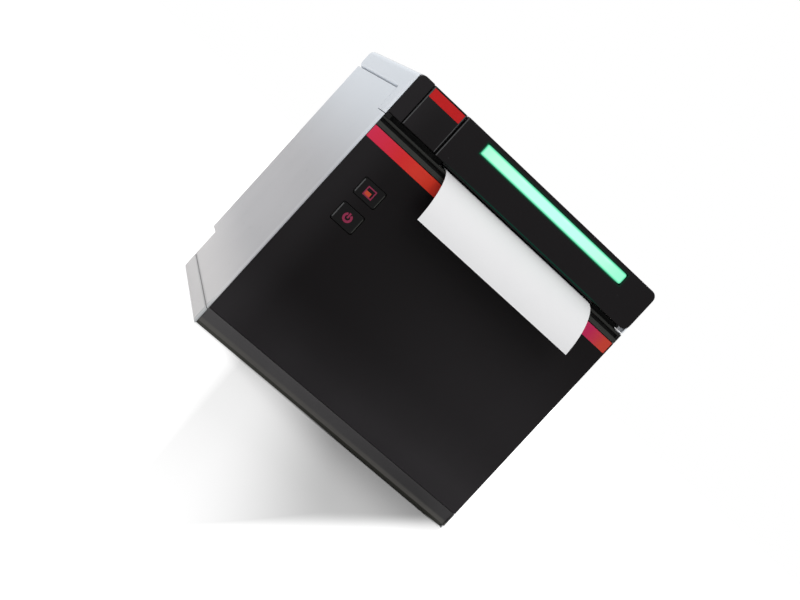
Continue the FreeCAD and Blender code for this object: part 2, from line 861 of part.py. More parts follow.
def feed_icon():
    y = (less(deep("key_recess"), "icon_gauge"), deep("key_recess"))
    x = ("-key_centre - feed_icon_width / 2", "feed_icon_width / 2 - key_centre")
    z = ("feed_key_level - feed_icon_height / 2", "feed_key_level + feed_icon_height / 2")
    frame = block(x, y, z)
    window = block((f"{x[0]} + icon_line", f"{x[1]} - icon_line"), y,
                   ("feed_key_level - icon_overlap", f"{z[1]} - icon_line"))
    piece("feed_icon", remove(frame, window))


def button_board():
    margin = total("key_width / 2", "key_board_margin")
    x = (f"-key_centre - {margin}", f"{margin} - key_centre")
    y = (deep("key_board_depth"), deep("key_board_depth + board_gauge"))
    z = (less("power_key_level", "power_key_height / 2", "key_board_end"),
         total("feed_key_level", "feed_key_height / 2", "key_board_end"))
    solids = [block(x, y, z)]
    for _, level, _ in KEYS:
        solids.append(block(("-key_centre - switch_size / 2", "switch_size / 2 - key_centre"),
                            (less(y[0], "switch_height"), y[0]),
                            (f"{level} - switch_size / 2", f"{level} + switch_size / 2")))
    piece("button_board", merge(*solids))


# ---- mechanism frame, head and cutter ---------------------------------------------------------

def frame_outline():
    return [(deep("frame_front"), deck), (deep("frame_front + leg_width"), deck),
            (deep("frame_front + leg_width"), "leg_height"), (deep("rear_leg_depth"), "leg_height"),
            (deep("rear_leg_depth"), "recess_height + case_wall"),
            (deep("rear_leg_depth + rear_leg_width"), "recess_height + case_wall"),
            (deep("rear_leg_depth + rear_leg_width"), "frame_shoulder"),
            (deep("slope_end"), "frame_shoulder"), (deep("ear_back"), "frame_top"),
            (deep("ear_front"), "frame_top"), (deep("ear_front"), "frame_rise"),
            (deep("frame_front"), "frame_rise")]


def frame_plate(sign, name):
    plate = body(f"{name}_frame_plate")
    near, far = total(paper_half, "frame_gap"), total(paper_half, "frame_gap", "frame_gauge")
    pad(plate, "YZ", beside_track(sign, near, far), frame_outline())
    foot = rect((deep("frame_front"), deep("frame_front + leg_width")), (deck, total(deck, "frame_gauge")))
    pad(plate, "YZ", beside_track(sign, less(near, "leg_foot"), near), foot)
    pad(plate, "YZ", beside_track(sign, less(near, "catch_reach"), near),
        ring(deep("catch_depth"), "catch_level", "catch_radius"))
    if sign > 0:
        pocket(plate, "YZ", beside_track(sign, near, far), ring(pinion_y, pinion_z, "motor_boss_radius"))
        pad(plate, "YZ", (total(frame_right, "frame_gauge"), total(gear_x[1], "shaft_end")),
            ring(platen_y, idler_z, "idler_pin_radius"))


def thermal_head():
    top = less(paper_floor, "head_play")
    y = (deep("head_front"), deep("head_front + head_depth"))
    x = about_track(total(paper_half, "head_margin"))
    piece("thermal_head", block(x, y, (less(top, "head_gauge"), top)))


sink_top = less(paper_floor, "head_play", "head_gauge")
sink_floor = less(sink_top, "sink_height")
head_shelf = less(sink_floor, "spring_height")
sink_y = (deep("sink_front"), deep("sink_front + sink_depth"))


def head_heatsink():
    x = about_track(total(paper_half, "head_margin"))
    plate = block(x, sink_y, (sink_floor, sink_top))
    grooves = [block(x, (total(sink_y[0], f"{i} * 2 * fin_gap + fin_gap"),
                         total(sink_y[0], f"{i} * 2 * fin_gap + 2 * fin_gap")),
                     (less(sink_floor, "overcut"), total(sink_floor, "fin_height"))) for i in range(3)]
    seats = [block((f"{middle} - spring_radius - rim", f"{middle} + spring_radius + rim"), sink_y,
                   (sink_floor, total(sink_floor, "fin_height"))) for middle in spring_places()]
    piece("head_heatsink", merge(remove(plate, *grooves), *seats))


def spring_places():
    return [f"(track_centre + {i} * spring_pitch)" for i in (-1, 0, 1)]


def head_springs():
    y = total(sink_y[0], "sink_depth / 2")
    springs = []
    for x in spring_places():
        coil = rod("Z", (x, y), "spring_radius", (head_shelf, sink_floor))
        springs.append(remove(coil, rod("Z", (x, y), "spring_bore", (head_shelf, sink_floor))))
    piece("head_springs", group(*springs))


guide_front = total(deep("blade_front"), "blade_gauge", "blade_play")
guide_back = total(guide_front, "guide_gauge")


def head_bracket():
    shelf_plate = block(about_track(total(paper_half, "frame_gap")), (guide_back, sink_y[1]),
                        (less(head_shelf, "bracket_gauge"), head_shelf))
    fence = block(about_track(total(paper_half, "head_margin")),
                  (sink_y[1], total(sink_y[1], "bracket_gauge")),
                  (less(head_shelf, "bracket_gauge"), less(sink_top, "fence_drop")))
    piece("head_bracket", merge(shelf_plate, fence))


guide_top = less(paper_floor, "guide_drop")


def cutter_frame():
    plate = block(about_track(total(paper_half, "frame_gap")), (guide_front, guide_back),
                  (less(guide_top, "guide_height"), guide_top))
    piece("cutter_frame", plate)


def cutter_blade():
    blade = body("cutter_blade")
    y = (deep("blade_front"), deep("blade_front + blade_gauge"))
    top = less(paper_floor, "blade_rest")
    reach = total(paper_half, "blade_overhang")
    low = less(top, "blade_height")
    left, right = about_track(reach)
    notch = less(top, "blade_vee")
    middle = less("track_centre", "tab_offset")
    tab = (less(middle, "tab_width / 2"), total(middle, "tab_width / 2"))
    pad(blade, "XZ", y, [(left, low), (tab[0], low), (tab[0], less(low, "tab_height")),
                         (tab[1], less(low, "tab_height")), (tab[1], low), (right, low), (right, top),
                         ("track_centre", notch), (left, top)])


def fixed_blade():
    blade = body("fixed_blade")
    back = less(deep("blade_front"), "shear_gap")
    low = total(nip, "counter_rise")
    top = total(low, "counter_height")
    pad(blade, "YZ", about_track(total(paper_half, "blade_overhang")),
        [(less(back, "counter_gauge"), low), (back, low), (back, top), (face_back, top),
         (face_back, less(top, "counter_flange")),
         (less(back, "counter_gauge"), less(top, "counter_flange"))])


def cutter_drive():
    left = less("track_centre", "drive_offset")
    right = total(left, "drive_width")
    top = less(head_shelf, "bracket_gauge", "drive_drop")
    low = less(top, "drive_height")
    y = (guide_back, total(guide_back, "drive_depth"))
    box = block((left, right), y, (low, top))
    middle = (total(y[0], "drive_depth / 2"), total(low, "drive_height / 2"))
    motor = rod("X", middle, "cutter_motor_radius", (right, total(right, "cutter_motor_length")))
    piece("cutter_drive", merge(box, motor))


# ---- feed drive -----------------------------------------------------------------------------

def feed_motor():
    inside = frame_right
    can = rod("X", (pinion_y, pinion_z), "motor_radius", (less(inside, "motor_length"), inside))
    boss = rod("X", (pinion_y, pinion_z), "motor_boss_radius", (inside, total(inside, "motor_boss_height")))
    bore = rod("X", (pinion_y, pinion_z), "motor_shaft_radius + running_play",
               (less(inside, "motor_length / 2"), total(inside, "motor_boss_height")))
    piece("feed_motor", remove(merge(can, boss), bore))


def motor_shaft():
    piece("motor_shaft", rod("X", (pinion_y, pinion_z), "motor_shaft_radius",
                             (less(frame_right, "motor_length / 2", "-shaft_end"),
                              total(gear_x[1], "shaft_end"))))


def gear(label, teeth, centre, bore, phase):
    """A spur gear across the drive; phase is the angle of one tooth, in degrees from +Y towards +Z."""
    outline = fcgear.FCWireBuilder()
    involute.CreateExternalGear(outline, number("gear_module"), int(number(teeth)), PRESSURE_ANGLE, False,
                                ADDENDUM, DEDENDUM, ROOT_FILLET)
    wire = Part.Wire([curve.toShape() for curve in outline.wire])
    width = FreeCAD.Vector(0, 0, number("gear_width"))
    blank = Part.Face(wire).extrude(width)
    hole = Part.makeCylinder(number(bore), width.z)
    wheel = piece(label, doc.addObject("Part::Feature", "Gear"))
    wheel.Shape = blank.cut(hole)
    turn = FreeCAD.Rotation(FreeCAD.Vector(1, 1, 1), 120) * FreeCAD.Rotation(FreeCAD.Vector(0, 0, 1), phase)
    spot = FreeCAD.Vector(number(gear_x[0]), number(centre[0]), number(centre[1]))
    wheel.Placement = FreeCAD.Placement(spot, turn)


def meshing_phase(phase, teeth, direction, other_teeth):
    """Where the next wheel needs a tooth, if it lies in a direction from a wheel with that phase."""
    share = (direction - phase) / (360 / teeth)
    return direction + 180 - (0.5 - share) * (360 / other_teeth)


def gears():
    platen_phase = -90.0
    down = -90.0
    counts = [int(number(name)) for name in ("platen_teeth", "idler_teeth", "pinion_teeth")]
    idler_phase = meshing_phase(platen_phase, counts[0], down, counts[1])
    to_pinion = math.degrees(math.atan2(number(less(pinion_z, idler_z)), number("pinion_offset")))
    pinion_phase = meshing_phase(idler_phase, counts[1], to_pinion, counts[2])
    gear("platen_gear", "platen_teeth", (platen_y, platen_z), "shaft_radius", platen_phase)
    gear("idler_gear", "idler_teeth", (platen_y, idler_z), "idler_pin_radius + running_play", idler_phase)
    gear("motor_pinion", "pinion_teeth", (pinion_y, pinion_z), "motor_shaft_radius", pinion_phase)


platen_half = total(paper_half, "platen_overhang")
bracket_near = total(platen_half, "bracket_gap")
bracket_far = total(bracket_near, "bracket_width")


def platen():
    middle = (platen_y, platen_z)
    span = about_track(platen_half)
    rubber = rod("X", middle, "platen_radius", span)
    piece("platen_roller", remove(rubber, rod("X", middle, "shaft_radius", span)))
    ends = (less("track_centre", bracket_far, "bush_overrun"), total(gear_x[1], "shaft_end"))
    piece("platen_shaft", rod("X", middle, "shaft_radius", ends))


def platen_bushes():
    bushes = []
    for sign, _ in sides:
        x = beside_track(sign, bracket_near, bracket_far)
        outer = rod("X", (platen_y, platen_z), "bush_radius", x)
        bushes.append(remove(outer, rod("X", (platen_y, platen_z), "shaft_radius + running_play", x)))
    piece("platen_bushes", group(*bushes))


# ---- paper ----------------------------------------------------------------------------------

def paper_guide():
    ramp = body("paper_guide")
    top = less(paper_floor, "ramp_drop")
    low = less(top, "ramp_height")
    y = (total(deep("ramp_front"), "bracket_gauge"), total(deep("ramp_front"), "ramp_depth"))
    pad(ramp, "YZ", about_track(total(paper_half, "ramp_margin")),
        [(y[0], top), (y[1], less(top, "ramp_fall")), (y[1], low), (y[0], low)])
    pad(ramp, "XY", (less(low, "ramp_foot"), low),
        rect(about_track(total(paper_half, "frame_gap")), y))


def paper_bin():
    outer_half = total(paper_half, "bin_margin", "bin_wall")
    outer, within = about_track(outer_half), about_track(less(outer_half, "bin_wall"))
    y = (less(roll_y, "bin_radius", "bin_wall"), total(roll_y, "bin_radius", "bin_wall"))
    y_in = (total(y[0], "bin_wall"), less(y[1], "bin_wall"))
    middle = (roll_y, "bin_level")
    shell = merge(rod("X", middle, "bin_radius + bin_wall", outer), block(outer, y, ("bin_level", "bin_top")))
    hollow = rod("X", middle, "bin_radius", within)
    mouth = block(within, y_in, ("bin_level", "bin_top + overcut"))
    lintel = block(outer, y, ("bin_top", "bin_level + bin_radius + bin_wall"))
    flange_z = (less("frame_shoulder", "bin_flange", "flange_gap"), less("frame_shoulder", "flange_gap"))
    flange_y = (total(y[0], "flange_end"), less(y[1], "flange_end"))
    flanges = [block(beside_track(sign, less(outer_half, "bin_wall / 2"), total(paper_half, "frame_gap")),
                     flange_y, flange_z) for sign, _ in sides]
    piece("paper_bin", merge(remove(shell, hollow, mouth, lintel), *flanges))


def paper_roll():
    middle = (roll_y, roll_z)
    x = (track_left, track_right)
    piece("paper_roll", remove(rod("X", middle, "roll_radius", x), rod("X", middle, "core_radius", x)))
    piece("roll_core", remove(rod("X", middle, "core_radius", x), rod("X", middle, "core_bore", x)))


def paper_web():
    web = body("paper_web")
    start = deep("cut_depth + cut_gap")
    bend = deep("web_bend_depth")
    top_of_roll = total(roll_z, "roll_radius", "web_rise")
    pad(web, "YZ", (track_left, track_right),
        [(start, nip), (bend, nip), (roll_y, total(top_of_roll, "paper_gauge")), (roll_y, top_of_roll),
         (bend, paper_floor), (start, paper_floor)])


def ticket_paper():
    x = (track_left, track_right)
    reach = total("ticket_reach", "cut_depth")
    middle = (deep("cut_depth"), less(nip, reach))
    sector = rod("X", middle, reach, x)
    sector.Placement.Rotation = TURNS["X"] * FreeCAD.Rotation(FreeCAD.Vector(0, 0, 1), 180)
    bind(sector, Angle="ticket_sweep")
    piece("ticket_paper", remove(sector, rod("X", middle, less(reach, "paper_gauge"), x)))


# ---- cover ----------------------------------------------------------------------------------

def top_cover():
    cover = body("top_cover")
    lip = deep("rim_setback")
    pad(cover, "YZ", (f"-{half}", half),
        [(lip, cheek_floor), (cheek_back, cheek_floor), (cheek_back, lid_line), (rear, lid_line),
         (rear, "case_height"), (lip, "case_height")])
    soften(cover, "corner_radius", {"x": f"-{half}", "z": "case_height"}, {"x": half, "z": "case_height"})
    soften(cover, "hinge_inset", {"y": rear, "z": lid_line})
    soften(cover, "rear_radius", {"y": rear, "z": "case_height"})
    face = less(half, "rim")
    pocket(cover, "XY", (cheek_floor, "case_height"), rect((f"-{face}", face), (less(front, "rim"), shelf)))
    inside = rect((f"-{inner}", inner), (less(shelf, "rim"), less(rear, "case_wall")))
    pocket(cover, "XY", (cheek_floor, roof), inside)
    opening = (less(release_x[0], "release_gap"), total(release_x[1], "release_gap"))
    pocket(cover, "XY", (roof, "case_height"),
           rect(opening, (less(front, "rim"), deep("release_depth + release_travel + release_gap"))))
    notches = []
    for sign, _ in sides:
        notch = mirrored(sign, less("ear_offset", "ear_gap"), total("ear_offset", "ear_width", "ear_gap"))
        notches.append(rect(notch, (less(lid_line, "overcut"), total(hinge_z, "ear_radius", "ear_gap"))))
    pocket(cover, "XZ", (less(rear, "case_wall", "ear_gap"), rear), *notches)
    for sign, _ in sides:
        for low in (less("ear_offset", "ear_gap", "knuckle_width"),
                    total("ear_offset", "ear_width", "ear_gap")):
            span = mirrored(sign, low, total(low, "knuckle_width"))
            web = (less(hinge_y, "ear_radius"), total(hinge_y, "ear_radius / 2"))
            pad(cover, "YZ", span, rect(web, (hinge_z, roof)))
            pad(cover, "YZ", span, ring(hinge_y, hinge_z, "ear_radius"))
            pocket(cover, "YZ", span, ring(hinge_y, hinge_z, "hinge_pin_radius"))


def hinge_pins():
    pins = []
    for sign, _ in sides:
        span = mirrored(sign, less("ear_offset", "ear_gap", "knuckle_width"),
                        total("ear_offset", "ear_width", "ear_gap", "knuckle_width"))
        pins.append(rod("X", (hinge_y, hinge_z), "hinge_pin_radius", span))
    piece("hinge_pins", group(*pins))


def band_corner(plate, x):
    soften(plate, "corner_radius - rim", {"x": x, "z": "case_height"})


def cover_front():
    band = body("cover_front")
    left = total(release_x[1], "release_right_gap")
    pad(band, "XZ", (front, face_back), rect((left, face_half), (band_floor, "case_height")))
    band_corner(band, face_half)
    soften(band, "corner_radius - rim", {"x": face_half, "z": band_floor})
    soften(band, "rim", {"x": left, "y": front})
    top = less("case_height", "light_drop")
    pocket(band, "XZ", (front, face_back),
           rect((less("0", "light_left", "light_play"), less("light_width", "light_left", "-light_play")),
                (less(top, "light_height", "light_play"), total(top, "light_play"))))


def cover_cheek():
    cheek = body("cover_cheek")
    right = less(release_x[0], "release_gap")
    pad(cheek, "XZ", (front, face_back), rect((f"-{face_half}", right), (band_floor, "case_height")))
    band_corner(cheek, f"-{face_half}")


light_x = (less("0", "light_left"), less("light_width", "light_left"))
light_z = (less("case_height", "light_drop", "light_height"), less("case_height", "light_drop"))


def light_bar():
    bar = body("light_bar")
    pad(bar, "XZ", (front, deep("light_depth")), rect(light_x, light_z))


def light_board():
    y = (deep("light_depth + led_rise"), deep("light_depth + led_rise + board_gauge"))
    board = block((less(light_x[0], "light_board_margin"), total(light_x[1], "light_board_margin")), y,
                  (less(light_z[0], "light_board_drop"), roof))
    middle = f"({light_x[0]} + {light_x[1]}) / 2"
    level = f"({light_z[0]} + {light_z[1]}) / 2"
    leds = []
    for i in range(-5, 6):
        x = f"({middle} + {i} * led_pitch)"
        leds.append(block((f"{x} - led_size / 2", f"{x} + led_size / 2"), (deep("light_depth"), y[0]),
                          (f"{level} - led_size / 2", f"{level} + led_size / 2")))
    piece("light_board", merge(board, *leds))


def cover_liner():
    liner = body("cover_liner")
    edge = less(inner, "seam")
    back = deep("liner_back")
    front_edge = deep("light_depth + led_rise + board_gauge")
    clear = deep("release_depth + release_travel + release_gap + liner_gap")
    split = total(release_x[1], "release_right_gap")
    pad(liner, "XY", (liner_floor, roof),
        [(f"-{edge}", clear), (split, clear), (split, front_edge), (edge, front_edge), (edge, back),
         (f"-{edge}", back)])
    y = (less(platen_y, "bracket_depth / 2"), total(platen_y, "bracket_depth / 2"))
    for sign, _ in sides:
        span = beside_track(sign, bracket_near, bracket_far)
        pad(liner, "YZ", span, rect(y, (total(nip, "bracket_floor"), liner_floor)))
        pocket(liner, "YZ", span, ring(platen_y, platen_z, "bush_radius"))
    lug_y = (less(latch_y, "latch_lug_depth / 2"), total(latch_y, "latch_lug_depth / 2"))
    for x in latch_lugs():
        pad(liner, "YZ", x, rect(lug_y, (less("latch_level", "latch_radius", "lug_wall"), liner_floor)))
        pocket(liner, "YZ", x, ring(latch_y, "latch_level", "latch_radius + running_play"))


def latch_lugs():
    left = less("0", "latch_lug_offset")
    right = total(track_right, "lug_overhang")
    return [(left, total(left, "latch_lug_width")), (less(right, "latch_lug_width"), right)]


def release_button():
    button = body("release_button")
    low = total(band_floor, "release_play")
    high = less("case_height", "release_play")
    back = deep("release_depth")
    pad(button, "XZ", (front, back), rect(release_x, (low, high)))
    soften(button, "rim", {"x": release_x[0], "y": front}, {"x": release_x[1], "y": front},
           {"y": front, "z": low})
    stripe_top = less(high, "release_stripe_drop")
    pocket(button, "XZ", (front, deep("stripe_gauge")),
           rect((total(release_x[0], "rim"), less(release_x[1], "rim")),
                (less(stripe_top, "release_stripe_height"), stripe_top)))
    middle = f"({release_x[0]} + {release_x[1]}) / 2"
    rod_low = total("latch_level", "rod_rise")
    pad(button, "XZ", (back, less(latch_y, "lever_gauge / 2", "lever_play")),
        rect((f"{middle} - push_rod_width / 2", f"{middle} + push_rod_width / 2"),
             (rod_low, total(rod_low, "push_rod_height"))))


def release_stripe():
    high = less("case_height", "release_play", "release_stripe_drop")
    piece("release_stripe", block((total(release_x[0], "rim"), less(release_x[1], "rim")),
                                  (front, deep("stripe_gauge")), (less(high, "release_stripe_height"), high)))


def latch_bar():
    middle = f"({release_x[0]} + {release_x[1]}) / 2"
    hook_near = total(paper_half, "frame_gap", "-hook_gap", "-hook_gauge")
    hook_far = less(total(paper_half, "frame_gap"), "hook_gap")
    lever_x = (f"{middle} - lever_width / 2", f"{middle} + lever_width / 2")
    shaft = rod("X", (latch_y, "latch_level"), "latch_radius", (lever_x[0], total("track_centre", hook_far)))
    y = (less(latch_y, "lever_gauge / 2"), total(latch_y, "lever_gauge / 2"))
    lever = block(lever_x, y, ("latch_level", "latch_level + lever_rise"))
    hooks = []
    for sign, _ in sides:
        x = beside_track(sign, hook_near, hook_far)
        low = less("latch_level", "hook_drop")
        hooks.append(block(x, y, (low, "latch_level")))
        hooks.append(block(x, (y[1], total(y[1], "nose_reach")), (low, total(low, "nose_height"))))
    piece("latch_bar", merge(shaft, lever, *hooks))


# ---- electronics ----------------------------------------------------------------------------

def board_span():
    edge = less(inner, "board_side_gap")
    return (f"-{edge}", edge), (deep("board_front"), less(recess_front, "port_plate_gauge", "board_back_gap"))


def board_corners():
    (left, right), (near, far) = board_span()
    return [(x, y) for x in (total(left, "board_screw_inset"), less(right, "board_screw_inset"))
            for y in (total(near, "board_screw_inset"), less(far, "board_screw_inset"))]


def main_board():
    board = body("main_board")
    x, y = board_span()
    pad(board, "XY", board_z, rect(x, y))
    pocket(board, "XY", board_z, *[ring(a, b, "pilot_radius") for a, b in board_corners()])


def board_standoffs():
    posts = []
    for x, y in board_corners():
        sleeve = rod("Z", (x, y), "standoff_radius", (deck, board_z[0]))
        head = (board_z[1], total(board_z[1], "board_screw_height"))
        screw = merge(rod("Z", (x, y), "pilot_radius", board_z),
                      rod("Z", (x, y), "screw_head_radius", head))
        posts.append(merge(sleeve, screw))
    piece("board_standoffs", group(*posts))


def board_parts():
    """Chips, a buzzer and capacitors standing on the main board."""
    top = board_z[1]
    near = total(deep("board_front"), "chip_depth")

    def chip(name, x, height):
        return block((f"{x} - {name}_size / 2", f"{x} + {name}_size / 2"),
                     (less(near, f"{name}_size / 2"), total(near, f"{name}_size / 2")),
                     (top, total(top, height)))

    chips = [chip("chip", "-chip_offset", "chip_height"), chip("memory", "memory_offset", "chip_height"),
             chip("driver", "driver_offset", "driver_height")]
    row = total(deep("board_front"), "capacitor_depth")
    cans = [rod("Z", (x, row), "capacitor_radius", (top, total(top, "capacitor_height")))
            for x in ("-capacitor_offset", "capacitor_pitch - capacitor_offset", "capacitor_offset")]
    buzzer = rod("Z", ("buzzer_offset", near), "buzzer_radius", (top, total(top, "buzzer_height")))
    piece("board_parts", group(*chips, *cans, buzzer))


SQUARE_PORTS = ("usb", "lan", "drawer")


def port_box(name):
    x = (f"{name}_centre - {name}_width / 2", f"{name}_centre + {name}_width / 2")
    z = (board_z[1], total(board_z[1], f"{name}_height"))
    return x, (less(recess_front, "port_depth"), recess_front), z


def port_mouth(name):
    x = (f"{name}_centre - {name}_mouth_width / 2", f"{name}_centre + {name}_mouth_width / 2")
    low = total(board_z[1], f"({name}_height - {name}_mouth_height) / 2")
    y = (less(recess_front, "mouth_depth"), recess_front)
    return block(x, y, (low, total(low, f"{name}_mouth_height")))


def ports():
    for name in SQUARE_PORTS:
        hollow = remove(block(*port_box(name)), port_mouth(name))
        if name == "usb":
            level = total(board_z[1], "usb_height / 2")
            tongue = block(("usb_centre - usb_tongue_width / 2", "usb_centre + usb_tongue_width / 2"),
                           (less(recess_front, "mouth_depth"), less(recess_front, "tongue_setback")),
                           (f"{level} - usb_tongue_height / 2", f"{level} + usb_tongue_height / 2"))
            hollow = merge(hollow, tongue)
        piece(f"{name}_port", hollow)
    middle = ("jack_centre", total(board_z[1], "jack_height / 2"))
    span = (less(recess_front, "mouth_depth"), recess_front)
    socket = remove(block(*port_box("jack")), rod("Y", middle, "jack_bore", span))
    pin = rod("Y", middle, "jack_pin", (span[0], less(recess_front, "tongue_setback")))
    piece("power_jack", merge(socket, pin))


def port_plate():
    plate = body("port_plate")
    edge = less(inner, "seam")
    y = (less(recess_front, "port_plate_gauge"), recess_front)
    pad(plate, "XZ", y, rect((f"-{edge}", edge), (deck, less("recess_height", "ledge_gap"))))
    windows = []
    for name in SQUARE_PORTS + ("jack",):
        x, _, z = port_box(name)
        windows.append(rect((less(x[0], "port_play"), total(x[1], "port_play")),
                            (less(z[0], "port_play"), total(z[1], "port_play"))))
    pocket(plate, "XZ", y, *windows)


# ---- the whole printer ------------------------------------------------------------------------

def build():
    bottom_plate()
    rubber_feet()
    base_tray()
    base_screws()
    front_trim()
    for sign, name in sides:
        side_panel(sign, name)
        frame_plate(sign, name)
    rear_panel()
    hinge_ears()
    front_panel()
    front_stripe()
    lower_lip()
    for key in KEYS:
        key_button(*key)
    power_icon()
    feed_icon()
    button_board()
    thermal_head()
    head_heatsink()
    head_springs()
    head_bracket()
    cutter_frame()
    cutter_blade()
    fixed_blade()
    cutter_drive()
    feed_motor()
    motor_shaft()
    gears()
    platen()
    platen_bushes()
    paper_guide()
    paper_bin()
    paper_roll()
    paper_web()
    ticket_paper()
    top_cover()
    hinge_pins()
    cover_front()
    cover_cheek()
    light_bar()
    light_board()
    cover_liner()
    release_button()
    release_stripe()
    latch_bar()
    main_board()
    board_standoffs()
    board_parts()
    ports()
    port_plate()


def export():
    doc.recompute()
    failed = [thing.Label for thing in doc.Objects if {"Invalid", "Error"} & set(thing.State)]
    failed += [thing.Label for thing in pieces if thing.Shape.isNull() or not thing.Shape.isValid()]
    if failed:
        raise ValueError("not built: " + ", ".join(failed))
    os.makedirs("parts", exist_ok=True)
    for thing in pieces:
        thing.Shape.exportStep(f"parts/{thing.Label}.step")
    print(len(pieces), "parts")


build()
export()
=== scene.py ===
import json
import math
import random

import bmesh
import bpy
from mathutils import Matrix, Vector

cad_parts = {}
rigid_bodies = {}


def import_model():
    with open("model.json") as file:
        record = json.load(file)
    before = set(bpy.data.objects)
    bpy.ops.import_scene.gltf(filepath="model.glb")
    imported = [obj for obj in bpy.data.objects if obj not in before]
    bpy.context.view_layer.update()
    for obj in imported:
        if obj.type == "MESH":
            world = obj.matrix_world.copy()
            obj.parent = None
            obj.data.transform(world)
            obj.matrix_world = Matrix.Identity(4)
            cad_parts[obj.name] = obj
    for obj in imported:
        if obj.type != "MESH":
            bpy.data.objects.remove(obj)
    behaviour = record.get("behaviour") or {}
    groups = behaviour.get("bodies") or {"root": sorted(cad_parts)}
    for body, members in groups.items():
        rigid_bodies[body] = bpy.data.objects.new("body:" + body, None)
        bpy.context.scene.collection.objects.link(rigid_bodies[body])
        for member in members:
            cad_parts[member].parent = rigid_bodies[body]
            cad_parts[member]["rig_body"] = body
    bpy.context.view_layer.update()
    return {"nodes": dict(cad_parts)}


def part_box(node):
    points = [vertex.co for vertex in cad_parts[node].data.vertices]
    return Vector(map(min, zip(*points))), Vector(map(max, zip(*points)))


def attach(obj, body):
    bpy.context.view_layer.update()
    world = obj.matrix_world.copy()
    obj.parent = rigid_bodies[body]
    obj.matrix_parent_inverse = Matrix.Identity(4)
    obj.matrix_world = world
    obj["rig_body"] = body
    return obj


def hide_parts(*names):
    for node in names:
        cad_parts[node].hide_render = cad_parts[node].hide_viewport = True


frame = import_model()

# A countertop queue ticket printer: silver case, black front, lit bar, paper roll and print works.
# Places and sizes are millimetres on the frame (X right, Y back, Z up) unless a name says metres.
MM = 0.001
nodes = frame["nodes"]
scene = bpy.context.scene


# ---- camera, lamps and floor -------------------------------------------------------------------

def set_camera():
    """A rolled view of the front and the left side; place and directions are in metres."""
    data = bpy.data.cameras.new("Camera")
    data.lens = 67.865
    data.sensor_width = 36.0
    right = Vector((0.718204, -0.169011, 0.674995))
    up = Vector((-0.637419, 0.229249, 0.735624))
    turn = Matrix((right, up, right.cross(up))).transposed().to_4x4()
    camera = bpy.data.objects.new("Camera", data)
    camera.matrix_world = Matrix.Translation((-0.17366, -0.60719, 0.09111)) @ turn
    scene.collection.objects.link(camera)
    scene.camera = camera


def lamp(name, place, aim, width, height, power):
    """A soft rectangular lamp, in metres, with its height kept upright."""
    data = bpy.data.lights.new(name, "AREA")
    data.shape = "RECTANGLE"
    data.size = width
    data.size_y = height
    data.energy = power
    holder = bpy.data.objects.new(name, data)
    holder.location = place
    holder.rotation_euler = (Vector(aim) - Vector(place)).to_track_quat("-Z", "Y").to_euler()
    scene.collection.objects.link(holder)


# ---- shader sums -------------------------------------------------------------------------------

class Value:
    """A number that varies over a surface; sums on it are written as sums."""

    def __init__(self, finish, socket):
        self.finish = finish
        self.socket = socket

    def worked(self, operation, first, second=0.0):
        """The result of one sum on two values or constants."""
        made = self.finish.node("ShaderNodeMath", {"operation": operation}, {0: first, 1: second})
        return Value(self.finish, made.outputs[0])

    def __add__(self, other):
        return self.worked("ADD", self, other)

    __radd__ = __add__

    def __sub__(self, other):
        return self.worked("SUBTRACT", self, other)

    def __rsub__(self, other):
        return self.worked("SUBTRACT", other, self)

    def __mul__(self, other):
        return self.worked("MULTIPLY", self, other)

    __rmul__ = __mul__

    def __truediv__(self, other):
        return self.worked("DIVIDE", self, other)

    def __rtruediv__(self, other):
        return self.worked("DIVIDE", other, self)

    def __pow__(self, other):
        return self.worked("POWER", self, other)

    def __abs__(self):
        return self.worked("ABSOLUTE", self)

    def least(self, other):
        return self.worked("MINIMUM", self, other)

    def most(self, other):
        return self.worked("MAXIMUM", self, other)

    def wave(self):
        return self.worked("SINE", self)

    def folded(self, length):
        """Runs up from 0 to length and back again, over and over."""
        return self.worked("PINGPONG", self, length)

    def rise(self, low, high):
        """0 below low, 1 above high, and smooth between; falls where low is the greater."""
        made = self.finish.node("ShaderNodeMapRange", {"interpolation_type": "SMOOTHSTEP"},
                                {"Value": self, "From Min": low, "From Max": high})
        return Value(self.finish, made.outputs["Result"])


